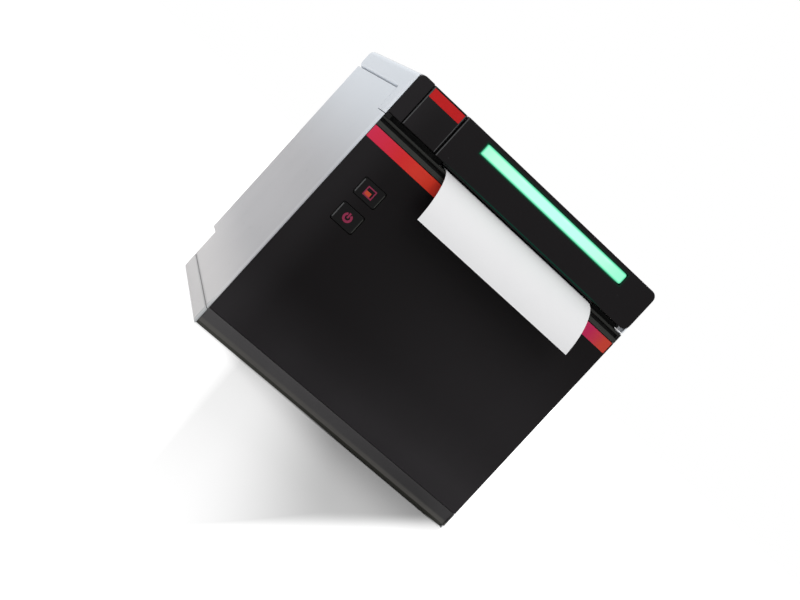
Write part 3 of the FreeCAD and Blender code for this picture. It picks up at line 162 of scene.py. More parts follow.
class Finish:
    """One material, built node by node around its shader."""

    def __init__(self, name, colour, roughness, metallic=0.0, gloss=0.5):
        self.material = bpy.data.materials.new(name)
        self.material.use_nodes = True
        self.tree = self.material.node_tree
        self.shader = self.tree.nodes["Principled BSDF"]
        self.material.diffuse_color = (*colour, 1.0)
        self.set("Base Color", (*colour, 1.0))
        self.set("Roughness", roughness)
        self.set("Metallic", metallic)
        self.set("Specular IOR Level", gloss)

    def node(self, kind, settings=None, inputs=None):
        """A node: its settings are set first, then the values or links of its sockets."""
        made = self.tree.nodes.new(kind)
        for name, setting in (settings or {}).items():
            if name == "stops":
                stops = made.color_ramp.elements
                stops.remove(stops[1])
                stops[0].position, stops[0].color = setting[0][0], (*setting[0][1], 1.0)
                for position, colour in setting[1:]:
                    stops.new(position).color = (*colour, 1.0)
            else:
                setattr(made, name, setting)
        for name, given in (inputs or {}).items():
            self.feed(made.inputs[name], given)
        return made

    def feed(self, socket, given):
        """Links a varying value to a socket, or sets a constant on it."""
        if isinstance(given, Value):
            given = given.socket
        if isinstance(given, bpy.types.NodeSocket):
            self.tree.links.new(given, socket)
        else:
            socket.default_value = given

    def set(self, name, given):
        self.feed(self.shader.inputs[name], given)

    def place(self):
        """Where a point lies on the object at rest, in metres."""
        return self.node("ShaderNodeTexCoord").outputs["Object"]

    def axes(self):
        """X, Y and Z of a point on the frame, in millimetres."""
        parts = self.node("ShaderNodeSeparateXYZ", {}, {0: self.place()})
        return [Value(self, parts.outputs[i]) * 1000.0 for i in range(3)]

    def noise(self, size, detail=2.0, stretch=(1.0, 1.0, 1.0)):
        """Random patches about so many millimetres across, from 0 to 1."""
        place = self.node("ShaderNodeVectorMath", {"operation": "MULTIPLY"}, {0: self.place(), 1: stretch})
        made = self.node("ShaderNodeTexNoise", {}, {"Vector": place.outputs[0], "Scale": 1000.0 / size,
                                                    "Detail": detail})
        return Value(self, made.outputs["Fac"])

    def cells(self, size, feature="F1", jitter=1.0):
        """A cell pattern: the distance inside each cell, and its own random number."""
        made = self.node("ShaderNodeTexVoronoi", {"feature": feature},
                         {"Vector": self.place(), "Scale": 1000.0 / size, "Randomness": jitter})
        own = made.outputs["Color"] if feature == "F1" else made.outputs["Distance"]
        return Value(self, made.outputs["Distance"]), own

    def blend(self, mask, low, high):
        """A colour that goes from low to high as the mask goes from 0 to 1."""
        made = self.node("ShaderNodeMix", {"data_type": "RGBA"}, {0: mask})
        for index, colour in ((6, low), (7, high)):
            if isinstance(colour, tuple):
                colour = (*colour, 1.0)
            self.feed(made.inputs[index], colour)
        return made.outputs[2]

    def tint(self, mask, low, high):
        """Runs the surface's colour from low to high with the mask."""
        self.set("Base Color", self.blend(mask, low, high))

    def ramp(self, along, stops):
        """A colour read along a row of (position, colour) stops."""
        return self.node("ShaderNodeValToRGB", {"stops": stops}, {"Fac": along}).outputs["Color"]

    def relief(self, height):
        """Raises the surface by a height in millimetres."""
        made = self.node("ShaderNodeBump", {}, {"Height": height, "Distance": MM, "Strength": 1.0})
        self.set("Normal", made.outputs["Normal"])


def shade(colour, by):
    """A colour made lighter or darker by a factor."""
    return tuple(min(1.0, part * by) for part in colour)


# ---- finishes ----------------------------------------------------------------------------------

def silver_paint():
    """Metallic silver paint over moulded plastic: fine flake, faint orange peel, slow cloudiness, and
    painted light and shade on the side panels, the front frame and the joints.
    """
    colour = (0.56, 0.565, 0.585)
    # Painted light and shade on the side panels: foot, waist and top.
    painted_foot_shade, painted_waist_shade, painted_head_light = (0.53, 0.515, 0.515), (0.295, 0.29, 0.306), (0.665, 0.715, 0.775)
    # Painted shade at the front frame's foot and a painted highlight at its top.
    painted_frame_foot_shade, painted_frame_highlight = (0.34, 0.35, 0.355), (0.70, 0.74, 0.79)
    # Painted shade and dirt along the joints.
    joint_shade_and_dirt_tone = (0.17, 0.17, 0.18)
    made = Finish("silver_plastic", colour, 0.4, metallic=0.25)
    x, y, z = made.axes()
    flake = made.noise(0.3, 1.0)
    cloud = made.noise(34.0, 3.0)
    peel = made.noise(1.4, 2.0)
    scuff = made.noise(9.0, 5.0, (0.4, 1.0, 3.0)).rise(0.62, 0.78)
    paint = made.blend(flake * 0.5 + cloud * 0.5, shade(colour, 0.94), shade(colour, 1.06))
    # The side panels: painted light and shade, pale at the top, a dark waist and a lighter foot, all weaker
    # on the right one.
    side = abs(x).rise(64.0, 65.0)
    strength = 0.9 - x.rise(-1.0, 1.0) * 0.5
    tall = made.blend(z.rise(64.0, 122.0), painted_waist_shade, painted_head_light)
    painted_side_shading = made.blend(z.rise(39.0, 8.0), tall, painted_foot_shade)
    panel = made.blend(side * strength, paint, painted_side_shading)
    # The front frame's narrow sides: painted shade near the foot and a painted highlight rising towards the
    # top.
    frame_side = y.rise(-45.5, -47.0) * side
    frame_foot_shaded = made.blend(frame_side * z.rise(16.0, 6.0), panel, painted_frame_foot_shade)
    frame_highlighted = made.blend(frame_side * (z.rise(80.0, 118.0) * 0.6 + 0.12), frame_foot_shaded, painted_frame_highlight)
    # The joints behind the frame and over the base tray: painted shade and dirt, darker along them.
    frame_joint = abs(y + 46.4).rise(0.8, 0.2) * z.rise(9.8, 9.0) * side
    tray_joint = abs(z - 7.35).rise(1.2, 0.3) * y.rise(-46.6, -46.2) * side
    made.set("Base Color", made.blend((tray_joint * 0.5).most(frame_joint * 0.5), frame_highlighted, joint_shade_and_dirt_tone))
    # The top face has a duller, coarser coat than the sides.
    top_face = z.rise(127.0, 127.15)
    made.set("Roughness", 0.34 + cloud * 0.1 + flake * 0.06 + scuff * 0.06 + top_face * 0.22)
    made.set("Metallic", 0.2 + flake * 0.16)
    made.relief(peel * 0.008 + flake * 0.002)
    return made.material


def satin_black():
    """Black ABS with a fine spark-eroded texture, a painted sheen and a few specks of lint."""
    colour, painted_sheen_tone, lint_tone = (0.0026, 0.0018, 0.0022), (0.0245, 0.0225, 0.0245), (0.04, 0.04, 0.042)
    lip_glow_tone, bar_glow_tone = (0.0, 0.03, 0.018), (0.0006, 0.024, 0.012)
    made = Finish("black_satin", colour, 0.45, gloss=0.085)
    x, y, z = made.axes()
    grain = made.noise(0.22, 2.0)
    smear = made.noise(30.0, 4.0, (1.0, 1.0, 0.6))
    near, own = made.cells(11.0)
    chosen = Value(made, made.node("ShaderNodeSeparateColor", {}, {0: own}).outputs[0]).rise(0.7, 0.72)
    lint = near.rise(0.016, 0.01) * chosen
    # Painted sheen, a lighter film standing in for reflected light: down the left, over the lower right,
    # along the foot and on the band's edge.
    beside = x.rise(-46.0, -62.0) * 0.35
    below = z.rise(40.0, 8.0) * 0.55 + x.rise(-50.0, 60.0) * z.rise(95.0, 45.0) * 0.45
    foot = z.rise(24.0, 10.0) * x.rise(-45.0, -28.0) * 0.18
    painted_sheen_mask = (beside + below + foot + z.rise(104.0, 107.5) * 0.12).least(1.0)
    clean = made.blend(grain, shade(colour, 0.8), shade(colour, 1.25))
    painted_sheen = made.blend(painted_sheen_mask * (0.75 + smear * 0.5), clean, painted_sheen_tone)
    # Green light that the lit bar spills on the band's lower edge and on the rim of its own opening.
    lip_line = z.rise(108.8, 108.4) * z.rise(107.6, 107.9) * x.rise(-40.0, -10.0) * x.rise(52.0, 42.0)
    lipped = made.blend(lip_line * y.rise(-50.7, -51.2), painted_sheen, lip_glow_tone)
    bar_rim = z.rise(118.8, 119.9) * z.rise(126.0, 124.9) * x.rise(-28.9, -27.7) * x.rise(51.3, 50.1)
    shining = made.blend(bar_rim * y.rise(-51.0, -51.4), lipped, bar_glow_tone)
    made.set("Base Color", made.blend(lint, shining, lint_tone))
    made.set("Roughness", 0.38 + smear * 0.1 + grain * 0.08)
    made.relief(grain * 0.006)
    return made.material


def plain_plastic(name, colour, roughness, gloss=0.4, grain_size=0.5, depth=0.006):
    """Moulded plastic with a small grain and slow changes of sheen."""
    made = Finish(name, colour, roughness, gloss=gloss)
    grain = made.noise(grain_size, 2.0)
    sheen = made.noise(22.0, 3.0)
    mottle = made.noise(3.5, 3.0)
    made.tint(grain * 0.5 + mottle * 0.5, shade(colour, 0.82), shade(colour, 1.2))
    made.set("Roughness", roughness - 0.05 + sheen * 0.12)
    made.relief(grain * depth)
    return made.material


def stripe_insert():
    """Glossy printed insert that runs from magenta through red to orange, at each end of the front."""
    made = Finish("red_stripe", (0.58, 0.03, 0.03), 0.35, gloss=0.15)
    x, _, z = made.axes()
    half_width = 66.0
    along = (x + half_width) / (2 * half_width)
    mottle = made.noise(2.5, 3.0)
    print_colour = made.ramp(along + (mottle - 0.5) * 0.02, [
        (0.0, (0.66, 0.026, 0.085)), (0.07, (0.66, 0.022, 0.055)), (0.13, (0.66, 0.022, 0.024)),
        (0.18, (0.66, 0.036, 0.022)), (0.24, (0.64, 0.038, 0.018)), (0.84, (0.52, 0.015, 0.12)),
        (0.91, (0.52, 0.018, 0.09)), (0.97, (0.56, 0.05, 0.03))])
    button_colour = made.blend(mottle, (0.50, 0.008, 0.009), (0.56, 0.012, 0.013))
    on_button = z.rise(110.0, 112.0)
    made.set("Base Color", made.blend(on_button, print_colour, button_colour))
    made.set("Roughness", 0.26 + mottle * 0.1)
    made.relief(made.noise(0.8, 1.0) * 0.002)
    return made.material


def icon_print():
    """Dull red ink, a little uneven, as a pad prints it."""
    made = Finish("icon_red", (0.26, 0.024, 0.068), 0.4, gloss=0.15)
    speck = made.noise(0.35, 2.0)
    made.tint(speck, (0.21, 0.017, 0.055), (0.3, 0.03, 0.08))
    made.set("Roughness", 0.36 + speck * 0.1)
    return made.material


def lit_diffuser():
    """Milky bar lit green from behind: bright spots over its lamps and a darker rim."""
    made = Finish("light_green", (0.05, 0.2, 0.12), 0.35, gloss=0.3)
    low, high = [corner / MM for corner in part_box("light_bar")]
    x, y, z = made.axes()
    rim = (x - low.x).least(high.x - x).least(z - low.z).least(high.z - z)
    haze = made.noise(2.2, 3.0)
    half_pitch = 11.8
    across = (x + 7.3).folded(half_pitch)
    spot = across.rise(4.2, 0.4) * z.rise(low.z + 2.6, high.z - 0.3)
    inner = x.rise(low.x, low.x + 34.0) * x.rise(high.x, high.x - 30.0)
    milk = made.blend(inner, made.blend(haze, (0.42, 0.97, 0.60), (0.47, 0.98, 0.66)), (0.49, 0.99, 0.79))
    end = x.rise(high.x - 16.0, high.x).most(x.rise(low.x + 7.0, low.x) * 0.5)
    deep = made.blend(end * 0.85, milk, (0.26, 0.94, 0.55))
    body = made.blend(spot * (0.5 - end * 0.3), deep, (0.68, 1.0, 0.92))
    outer_rim = made.blend(rim.rise(0.1, 0.5), (0.0, 0.07, 0.03), (0.12, 0.70, 0.40))
    lit = made.blend(rim.rise(0.5, 1.15), outer_rim, body)
    face = y.rise(-50.6, -51.0)
    made.set("Emission Color", made.blend(face, (0.01, 0.16, 0.07), lit))
    made.shader.inputs["Emission Strength"].default_value = 1.0
    made.set("Roughness", 0.3 + haze * 0.1)
    return made.material


def brushed(name, colour, roughness, stretch, depth=0.002):
    """Bare metal with drawn or brushed lines and light stains."""
    made = Finish(name, colour, roughness, metallic=1.0)
    lines = made.noise(0.9, 3.0, stretch)
    stain = made.noise(12.0, 4.0)
    made.tint(lines * 0.6 + stain * 0.4, shade(colour, 0.78), shade(colour, 1.12))
    made.set("Roughness", roughness - 0.06 + lines * 0.12 + stain * 0.06)
    made.relief(lines * depth)
    return made.material


def powder_coat():
    """Black powder coat on sheet steel, with its faint peel and settled dust."""
    colour = (0.014, 0.014, 0.015)
    made = Finish("black_metal", colour, 0.5, gloss=0.35)
    peel = made.noise(0.55, 2.0)
    dust = made.noise(14.0, 4.0)
    made.tint(dust * 0.6 + peel * 0.4, shade(colour, 0.75), shade(colour, 1.6))
    made.set("Roughness", 0.42 + peel * 0.14)
    made.relief(peel * 0.014)
    return made.material


def rubber(name, colour, ring):
    """Moulded or ground rubber; ring is how far its dust runs in rings round X."""
    made = Finish(name, colour, 0.75, gloss=0.25)
    grain = made.noise(0.18, 3.0)
    dust = made.noise(7.0, 4.0, (ring, 1.0, 1.0))
    made.tint(dust * 0.7 + grain * 0.3, shade(colour, 0.7), shade(colour, 1.7))
    made.set("Roughness", 0.66 + dust * 0.2)
    made.relief(grain * 0.008)
    return made.material


def circuit_board(name, mask_colour, track_colour):
    """Solder mask over copper tracks, with a grid of tinned holes."""
    made = Finish(name, mask_colour, 0.35, gloss=0.5)
    edge, _ = made.cells(4.6, "DISTANCE_TO_EDGE", jitter=0.75)
    track = edge.rise(0.075, 0.05)
    hole_distance, own = made.cells(5.2, jitter=0.35)
    chosen = Value(made, made.node("ShaderNodeSeparateColor", {}, {0: own}).outputs[1]).rise(0.5, 0.52)
    ring = hole_distance.rise(0.13, 0.11) * chosen
    bore = hole_distance.rise(0.065, 0.05) * chosen
    mottle = made.noise(1.2, 2.0)
    lined = made.blend(track, made.blend(mottle, shade(mask_colour, 0.85), shade(mask_colour, 1.15)),
                       track_colour)
    made.set("Base Color", made.blend(bore, made.blend(ring, lined, (0.62, 0.6, 0.56)), (0.01, 0.01, 0.01)))
    made.set("Metallic", ring * (1.0 - bore) * 0.9)
    made.set("Roughness", 0.32 + mottle * 0.1)
    made.relief(track * 0.03 + ring * 0.02 - bore * 0.2)
    return made.material


def thermal_paper():
    """Coated paper: close, faint fibre and a slight waviness."""
    made = Finish("paper", (0.84, 0.84, 0.845), 0.55, gloss=0.35)
    fibre = made.noise(0.5, 4.0, (1.0, 0.5, 0.5))
    cloud = made.noise(16.0, 3.0)
    made.tint(fibre * 0.4 + cloud * 0.6, (0.83, 0.83, 0.845), (0.88, 0.88, 0.885))
    made.set("Roughness", 0.5 + fibre * 0.12)
    made.relief(fibre * 0.003 + cloud * 0.02)
    return made.material


def wound_paper():
    """The roll's ends: fine rings, a few of them standing proud, round the roll's own axis."""
    made = Finish("roll_windings", (0.82, 0.82, 0.82), 0.6, gloss=0.3)
    middle = sum(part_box("paper_roll"), Vector()) / 2 / MM
    _, y, z = made.axes()
    radius = ((y - middle.y) ** 2.0 + (z - middle.z) ** 2.0) ** 0.5
    ring = made.node("ShaderNodeCombineXYZ", {}, {0: radius / 1000.0, 1: 0.0, 2: 0.0}).outputs[0]
    fine = Value(made, made.node("ShaderNodeTexNoise", {}, {"Vector": ring, "Scale": 2600.0,
                                                            "Detail": 3.0}).outputs["Fac"])
    slow = Value(made, made.node("ShaderNodeTexNoise", {}, {"Vector": ring, "Scale": 240.0,
                                                            "Detail": 2.0}).outputs["Fac"])
    made.tint(fine * 0.55 + slow * 0.45, (0.62, 0.62, 0.63), (0.9, 0.9, 0.9))
    made.set("Roughness", 0.55 + fine * 0.15)
    made.relief(fine * 0.05 + slow * 0.12)
    return made.material


def wound_card():
    """Brown card wound in a slant, with its overlap showing as a fine line."""
    made = Finish("card", (0.42, 0.29, 0.17), 0.8, gloss=0.2)
    x, y, z = made.axes()
    fibre = made.noise(0.7, 4.0, (0.3, 1.0, 1.0))
    seam = ((x + z * 0.9 + y * 0.9) / 3.0).wave().rise(0.97, 1.0)
    made.set("Base Color", made.blend(seam, made.blend(fibre, (0.34, 0.23, 0.13), (0.5, 0.36, 0.22)),
                                      (0.24, 0.16, 0.09)))
    made.relief(fibre * 0.03 - seam * 0.1)
    return made.material


def glazed_head():
    """Ceramic print head with a dark, glassy line where it heats the paper."""
    made = Finish("head_ceramic", (0.7, 0.67, 0.6), 0.25, gloss=0.6)
    _, y, _ = made.axes()
    cloud = made.noise(3.0, 3.0)
    glaze = abs(y + 35.5).rise(1.1, 0.9)
    base = made.blend(cloud, (0.66, 0.63, 0.56), (0.74, 0.71, 0.65))
    made.set("Base Color", made.blend(glaze, base, (0.12, 0.11, 0.10)))
    made.set("Roughness", 0.3 - glaze * 0.18)
    made.relief(cloud * 0.003)
    return made.material


def lip_plastic():
    """The grey lip under the slot: its groove is painted near black as painted shade, the strip above it is
    darker, and paper dust greys its front.
    """
    made = Finish("lip_grey", (0.028, 0.029, 0.027), 0.5, gloss=0.15)
    _, _, z = made.axes()
    grain = made.noise(0.5, 2.0)
    dust = made.noise(2.4, 4.0)
    # Painted shade: near black in the groove.
    painted_shade_groove = z.rise(103.2, 103.5) * z.rise(104.75, 104.55)
    ridge = z.rise(104.6, 104.8)
    front = made.blend(dust * 0.6 + grain * 0.4, (0.020, 0.021, 0.019), (0.036, 0.037, 0.033))
    upper = made.blend(ridge, front, (0.014, 0.0145, 0.013))
    made.set("Base Color", made.blend(painted_shade_groove, upper, (0.0015, 0.0015, 0.0015)))
    made.set("Roughness", 0.46 + grain * 0.12 + painted_shade_groove * 0.3)
    made.relief(grain * 0.01)
    return made.material


def trim_plastic():
    """Dark grey trim, with a painted highlight along its lower edge, painted shade on the slope under it,
    and painted shade darker towards its right end.
    """
    made = Finish("dark_grey", (0.05, 0.048, 0.05), 0.5, gloss=0.25)
    x, y, z = made.axes()
    grain = made.noise(0.5, 2.0)
    mottle = made.noise(6.0, 4.0, (0.4, 1.0, 1.0))
    front = y.rise(-46.0, -48.0)
    face = made.blend(grain * 0.5 + mottle * 0.5, (0.053, 0.051, 0.053), (0.073, 0.07, 0.072))
    # Painted highlight along the lower edge of the front face.
    painted_highlight = z.rise(4.2, 3.0) * front
    # Painted shade, darker towards the right end.
    shaded = made.blend(x.rise(-5.0, 62.0) * 0.66, face, (0.016, 0.015, 0.016))
    edged = made.blend(painted_highlight * (0.5 + mottle * 0.5), shaded, (0.10, 0.096, 0.088))
    # Painted shade on the slope under the lower edge.
    made.set("Base Color", made.blend(z.rise(2.05, 1.75) * front, edged, (0.032, 0.032, 0.024)))
    made.set("Roughness", 0.44 + mottle * 0.12)
    made.relief(grain * 0.01)
    return made.material


def key_plastic():
    """The keys' black, a little darker than the front round them."""
    made = Finish("key_black", (0.0045, 0.0042, 0.0045), 0.4, gloss=0.08)
    grain = made.noise(0.2, 2.0)
    touch = made.noise(5.0, 3.0)
    made.tint(grain * 0.5 + touch * 0.5, (0.0032, 0.003, 0.0032), (0.0062, 0.0058, 0.006))
    made.set("Roughness", 0.34 + touch * 0.12)
    made.relief(grain * 0.004)
    return made.material


def painted_highlight_finish(name, colour):
    """A moulding's edge, painted paler than its faces as a painted highlight."""
    made = Finish(name, colour, 0.38, gloss=0.3)
    rub = made.noise(1.6, 3.0)
    made.tint(rub, shade(colour, 0.7), shade(colour, 1.35))
    made.set("Roughness", 0.32 + rub * 0.14)
    return made.material


finishes = {
    "silver_plastic": silver_paint(),
    "black_satin": satin_black(),
    "dark_grey": trim_plastic(),
    "inner_black": plain_plastic("inner_black", (0.016, 0.016, 0.017), 0.5, 0.35),
    "red_stripe": stripe_insert(),
    "icon_red": icon_print(),
    "light_green": lit_diffuser(),
    "black_metal": powder_coat(),
    "steel": brushed("steel", (0.58, 0.58, 0.57), 0.3, (0.06, 1.0, 1.0)),
    "motor_can": brushed("motor_can", (0.46, 0.46, 0.45), 0.36, (0.05, 1.0, 1.0)),
    "aluminium": brushed("aluminium", (0.66, 0.67, 0.68), 0.34, (0.04, 1.0, 1.0), 0.004),
    "head_ceramic": glazed_head(),
    "roller_rubber": rubber("roller_rubber", (0.022, 0.022, 0.023), 0.3),
    "foot_rubber": rubber("foot_rubber", (0.018, 0.018, 0.018), 1.0),
    "board_green": circuit_board("board_green", (0.008, 0.085, 0.03), (0.02, 0.16, 0.06)),
    "board_white": circuit_board("board_white", (0.72, 0.73, 0.71), (0.82, 0.82, 0.8)),
    "part_black": plain_plastic("part_black", (0.02, 0.02, 0.021), 0.42, 0.45, 0.3),
    "port_metal": brushed("port_metal", (0.62, 0.61, 0.59), 0.3, (1.0, 0.06, 1.0)),
    "brass": brushed("brass", (0.55, 0.38, 0.14), 0.32, (1.0, 1.0, 0.2)),
    "paper": thermal_paper(),
    "card": wound_card(),
    "gear_plastic": plain_plastic("gear_plastic", (0.74, 0.72, 0.64), 0.4, 0.5, 0.8, 0.004),
}
windings = wound_paper()
lip_grey = lip_plastic()
key_black = key_plastic()
# Painted highlight for the upright edges of the band, the release button and the keys.
painted_highlight_edge = painted_highlight_finish("painted_highlight_edge", (0.055, 0.056, 0.058))
orange_ink = plain_plastic("orange_ink", (0.5, 0.055, 0.022), 0.4, 0.2, 0.3)
gold = brushed("contact_gold", (0.75, 0.53, 0.2), 0.25, (1.0, 0.1, 1.0))
sleeve = plain_plastic("capacitor_sleeve", (0.02, 0.03, 0.055), 0.35, 0.5)
foil = brushed("blank_plate_foil", (0.55, 0.56, 0.57), 0.4, (1.0, 0.05, 1.0))
painted_seam_shade = plain_plastic("painted_seam_shade", (0.30, 0.295, 0.30), 0.8, 0.1)
# Near black standing in for shade: in the slot, in screw crosses, and in the board's chip dots and scored
# lines.
shade_black = plain_plastic("painted_shade_black", (0.004, 0.004, 0.004), 0.7, 0.15)


# ---- pieces ------------------------------------------------------------------------------------

AXES = {"X": (1, 2, 0), "Y": (2, 0, 1), "Z": (0, 1, 2)}


class Form:
    """One visible piece, put together in millimetres and then set on a body of the frame."""

    def __init__(self, name, *materials):
        self.name = name
        self.materials = materials
        self.mesh = bmesh.new()

    def face(self, corners, material=0):
        """A face, left out where its corners have met."""
        try:
            made = self.mesh.faces.new(corners)
        except ValueError:
            return None
        made.material_index = material
        return made

    def block(self, low, high, material=0):
        """A box between two corners."""
        made = bmesh.ops.create_cube(self.mesh, size=1.0)["verts"]
        for vert in made:
            vert.co = Vector([low[i] + (vert.co[i] + 0.5) * (high[i] - low[i]) for i in range(3)])
        for face in {face for vert in made for face in vert.link_faces}:
            face.material_index = material

    def spot(self, axis, middle, along, radius, angle):
        """A point at an angle round an axis that passes through middle."""
        u, v, w = AXES[axis]
        place = [0.0, 0.0, 0.0]
        place[u] = middle[0] + radius * math.cos(angle)
        place[v] = middle[1] + radius * math.sin(angle)
        place[w] = along
        return self.mesh.verts.new(place)

    def turned(self, axis, middle, profile, sides=48, material=0, closed=False):
        """A profile of (radius, place along the axis) turned round the axis; closed joins its ends."""
        rings = [[self.spot(axis, middle, along, radius, 2 * math.pi * i / sides) for i in range(sides)]
                 for radius, along in profile]
        pairs = list(zip(rings, rings[1:]))
        if closed:
            pairs.append((rings[-1], rings[0]))
        for near, far in pairs:
            for i in range(sides):
                j = (i + 1) % sides
                self.face((near[i], near[j], far[j], far[i]), material)
        if not closed:
            self.face(list(reversed(rings[0])), material)
            self.face(rings[-1], material)

    def prism(self, axis, outline, low, high, material=0):
        """An outline, of points across the axis, run from low to high along it."""
        u, v, w = AXES[axis]
        ends = []
        for along in (low, high):
            ring = []
            for point in outline:
                place = [0.0, 0.0, 0.0]
                place[u], place[v], place[w] = point[0], point[1], along
                ring.append(self.mesh.verts.new(place))
            ends.append(ring)
        count = len(outline)
        for i in range(count):
            j = (i + 1) % count
            self.face((ends[0][i], ends[0][j], ends[1][j], ends[1][i]), material)
        self.face(list(reversed(ends[0])), material)
        self.face(ends[1], material)

    def sector(self, axis, middle, inner, outer, start, sweep, low, high, steps):
        """Part of a flat ring, from a start angle through a sweep round the axis."""
        rings = []
        for i in range(steps + 1):
            angle = start + sweep * i / steps
            rings.append([self.spot(axis, middle, along, radius, angle)
                          for along, radius in ((low, inner), (low, outer), (high, outer), (high, inner))])
        for near, far in zip(rings, rings[1:]):
            for i in range(4):
                j = (i + 1) % 4
                self.face((near[i], near[j], far[j], far[i]))
        self.face(list(reversed(rings[0])))
        self.face(rings[-1])

    def tube(self, path, radius, sides=10):
        """A round wire along a path of points."""
        path = [Vector(point) for point in path]
        rings = []
        side = None
        for i, point in enumerate(path):
            ahead = (path[min(i + 1, len(path) - 1)] - path[max(i - 1, 0)]).normalized()
            side = ahead.orthogonal() if side is None else side - ahead * side.dot(ahead)
            side.normalize()
            other = ahead.cross(side)
            rings.append([self.mesh.verts.new(point + radius * (math.cos(a) * side + math.sin(a) * other))
                          for a in [2 * math.pi * k / sides for k in range(sides)]])
        for near, far in zip(rings, rings[1:]):
            for i in range(sides):
                j = (i + 1) % sides
                self.face((near[i], near[j], far[j], far[i]))
        self.face(list(reversed(rings[0])))
        self.face(rings[-1])

    def settle(self, body, replaced=(), edge=0.0, sharp=35.0):
        """Turns the form into a piece in metres that rides on a body of the frame."""
        bmesh.ops.recalc_face_normals(self.mesh, faces=self.mesh.faces)
        bmesh.ops.scale(self.mesh, vec=(MM, MM, MM), verts=self.mesh.verts)
        data = bpy.data.meshes.new(self.name)
        self.mesh.to_mesh(data)
        self.mesh.free()
        for material in self.materials:
            data.materials.append(material)
        return set_piece(self.name, data, body, replaced, edge, sharp)


def set_piece(name, data, body, replaced=(), edge=0.0, sharp=35.0):
    """Sets a mesh on its body, with edges sharper than an angle eased by a width in millimetres."""
    piece = bpy.data.objects.new(name, data)
    scene.collection.objects.link(piece)
    data.shade_smooth()
    data.set_sharp_from_angle(angle=math.radians(sharp))
    if edge:
        bevel = piece.modifiers.new("eased_edges", "BEVEL")
        bevel.width = edge * MM
        bevel.segments = 2
        bevel.limit_method = "ANGLE"
        bevel.angle_limit = math.radians(sharp)
        bevel.use_clamp_overlap = True
        bevel.harden_normals = True
    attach(piece, body)
    if replaced:
        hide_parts(*replaced)
    return piece


def dressed(node, edge, finish=None, painted_highlight=None):
    """A copy of a CAD node with its flat faces joined up and its edges eased, and a painted highlight on its
    upright rounded edges where a second finish is named.
    """
    original = nodes[node]
    mesh = bmesh.new()
    mesh.from_mesh(original.data)
    bmesh.ops.remove_doubles(mesh, verts=mesh.verts, dist=1e-6)
    bmesh.ops.dissolve_limit(mesh, angle_limit=math.radians(0.6), verts=mesh.verts, edges=mesh.edges)
    if painted_highlight:
        # Faces turned both sideways and forwards or back take the painted highlight.
        for face in mesh.faces:
            if min(abs(face.normal.x), abs(face.normal.y)) > 0.08:
                face.material_index = 1
    data = bpy.data.meshes.new(node + "_shell")
    mesh.to_mesh(data)
    mesh.free()
    data.materials.append(finish or finishes[slots[node]])
    if painted_highlight:
        data.materials.append(painted_highlight)
    return set_piece(node + "_shell", data, original["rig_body"], (node,), edge)


def bounds(node):
    """Lowest and highest corners of a CAD node, in millimetres."""
    return [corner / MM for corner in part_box(node)]


slots = {name: node.data.materials[0].name.split(".")[0] for name, node in nodes.items()}
for name, node in nodes.items():
    for place in node.material_slots:
        place.material = finishes[slots[name]]

# How far each of these nodes' edges are eased, in millimetres.
EASED = {
    "top_cover": 0.25, "left_side_panel": 0.25, "right_side_panel": 0.25, "rear_panel": 0.25,
    "front_panel": 0.2, "cover_cheek": 0.3,
    "front_stripe": 0.08, "release_stripe": 0.08, "port_plate": 0.2,
    "bottom_plate": 0.12, "paper_bin": 0.2, "paper_guide": 0.3, "cover_liner": 0.15,
    "left_frame_plate": 0.12, "right_frame_plate": 0.12, "latch_bar": 0.15, "cutter_frame": 0.1,
    "cutter_drive": 0.3, "head_heatsink": 0.12, "head_bracket": 0.1, "feed_motor": 0.3,
}
for node, edge in EASED.items():
    dressed(node, edge)
# Painted highlight on the upright edges of the band, the release button and the keys.
dressed("cover_front", 0.25, painted_highlight=painted_highlight_edge)
dressed("release_button", 0.25, painted_highlight=painted_highlight_edge)
dressed("power_button", 0.35, key_black, painted_highlight_edge)
dressed("feed_button", 0.35, key_black, painted_highlight_edge)
dressed("front_trim", 0.2)
dressed("lower_lip", 0.2, lip_grey)


def front_edges():
    """Black lips down the right edge, which hide the silver rim behind them from the front."""
    reach, thick = 65.45, 0.55
    for name, node, finish, foot in (("panel_edge", "front_panel", finishes["black_satin"], 0.0),
                                     ("stripe_edge", "front_stripe", finishes["red_stripe"], 0.0),
                                     ("lip_edge", "lower_lip", lip_grey, 0.0),
                                     ("trim_edge", "front_trim", finishes["dark_grey"], 1.5)):
        low, high = bounds(node)
        form = Form(name, finish)
        form.block((high.x - 0.05, low.y + 0.01, low.z + foot), (reach, min(low.y + thick, high.y), high.z))
        form.settle("base", edge=0.1)
    low, high = bounds("cover_front")
    form = Form("band_edge", finishes["black_satin"])
    corner = 2.9
    outline = [(z, x) for x, z in rounded(high.x - 6.0, low.z, reach, high.z, corner)]
    form.prism("Y", outline, low.y + 0.01, low.y + thick)
    form.settle("cover", edge=0.1)


def seam_seals():
    """Grey strips that fill the joint between the base tray and the side panels, as painted shade in the
    joint.
    """
    outer, inner, front, rear, foot, head = 65.2, 64.2, -45.5, 52.0, 7.15, 7.55
    form = Form("seam_shade_strips", painted_seam_shade)
    for side in (-1, 1):
        form.block((side * outer, front, foot), (side * inner, rear, head))
    form.settle("base", edge=0.05)


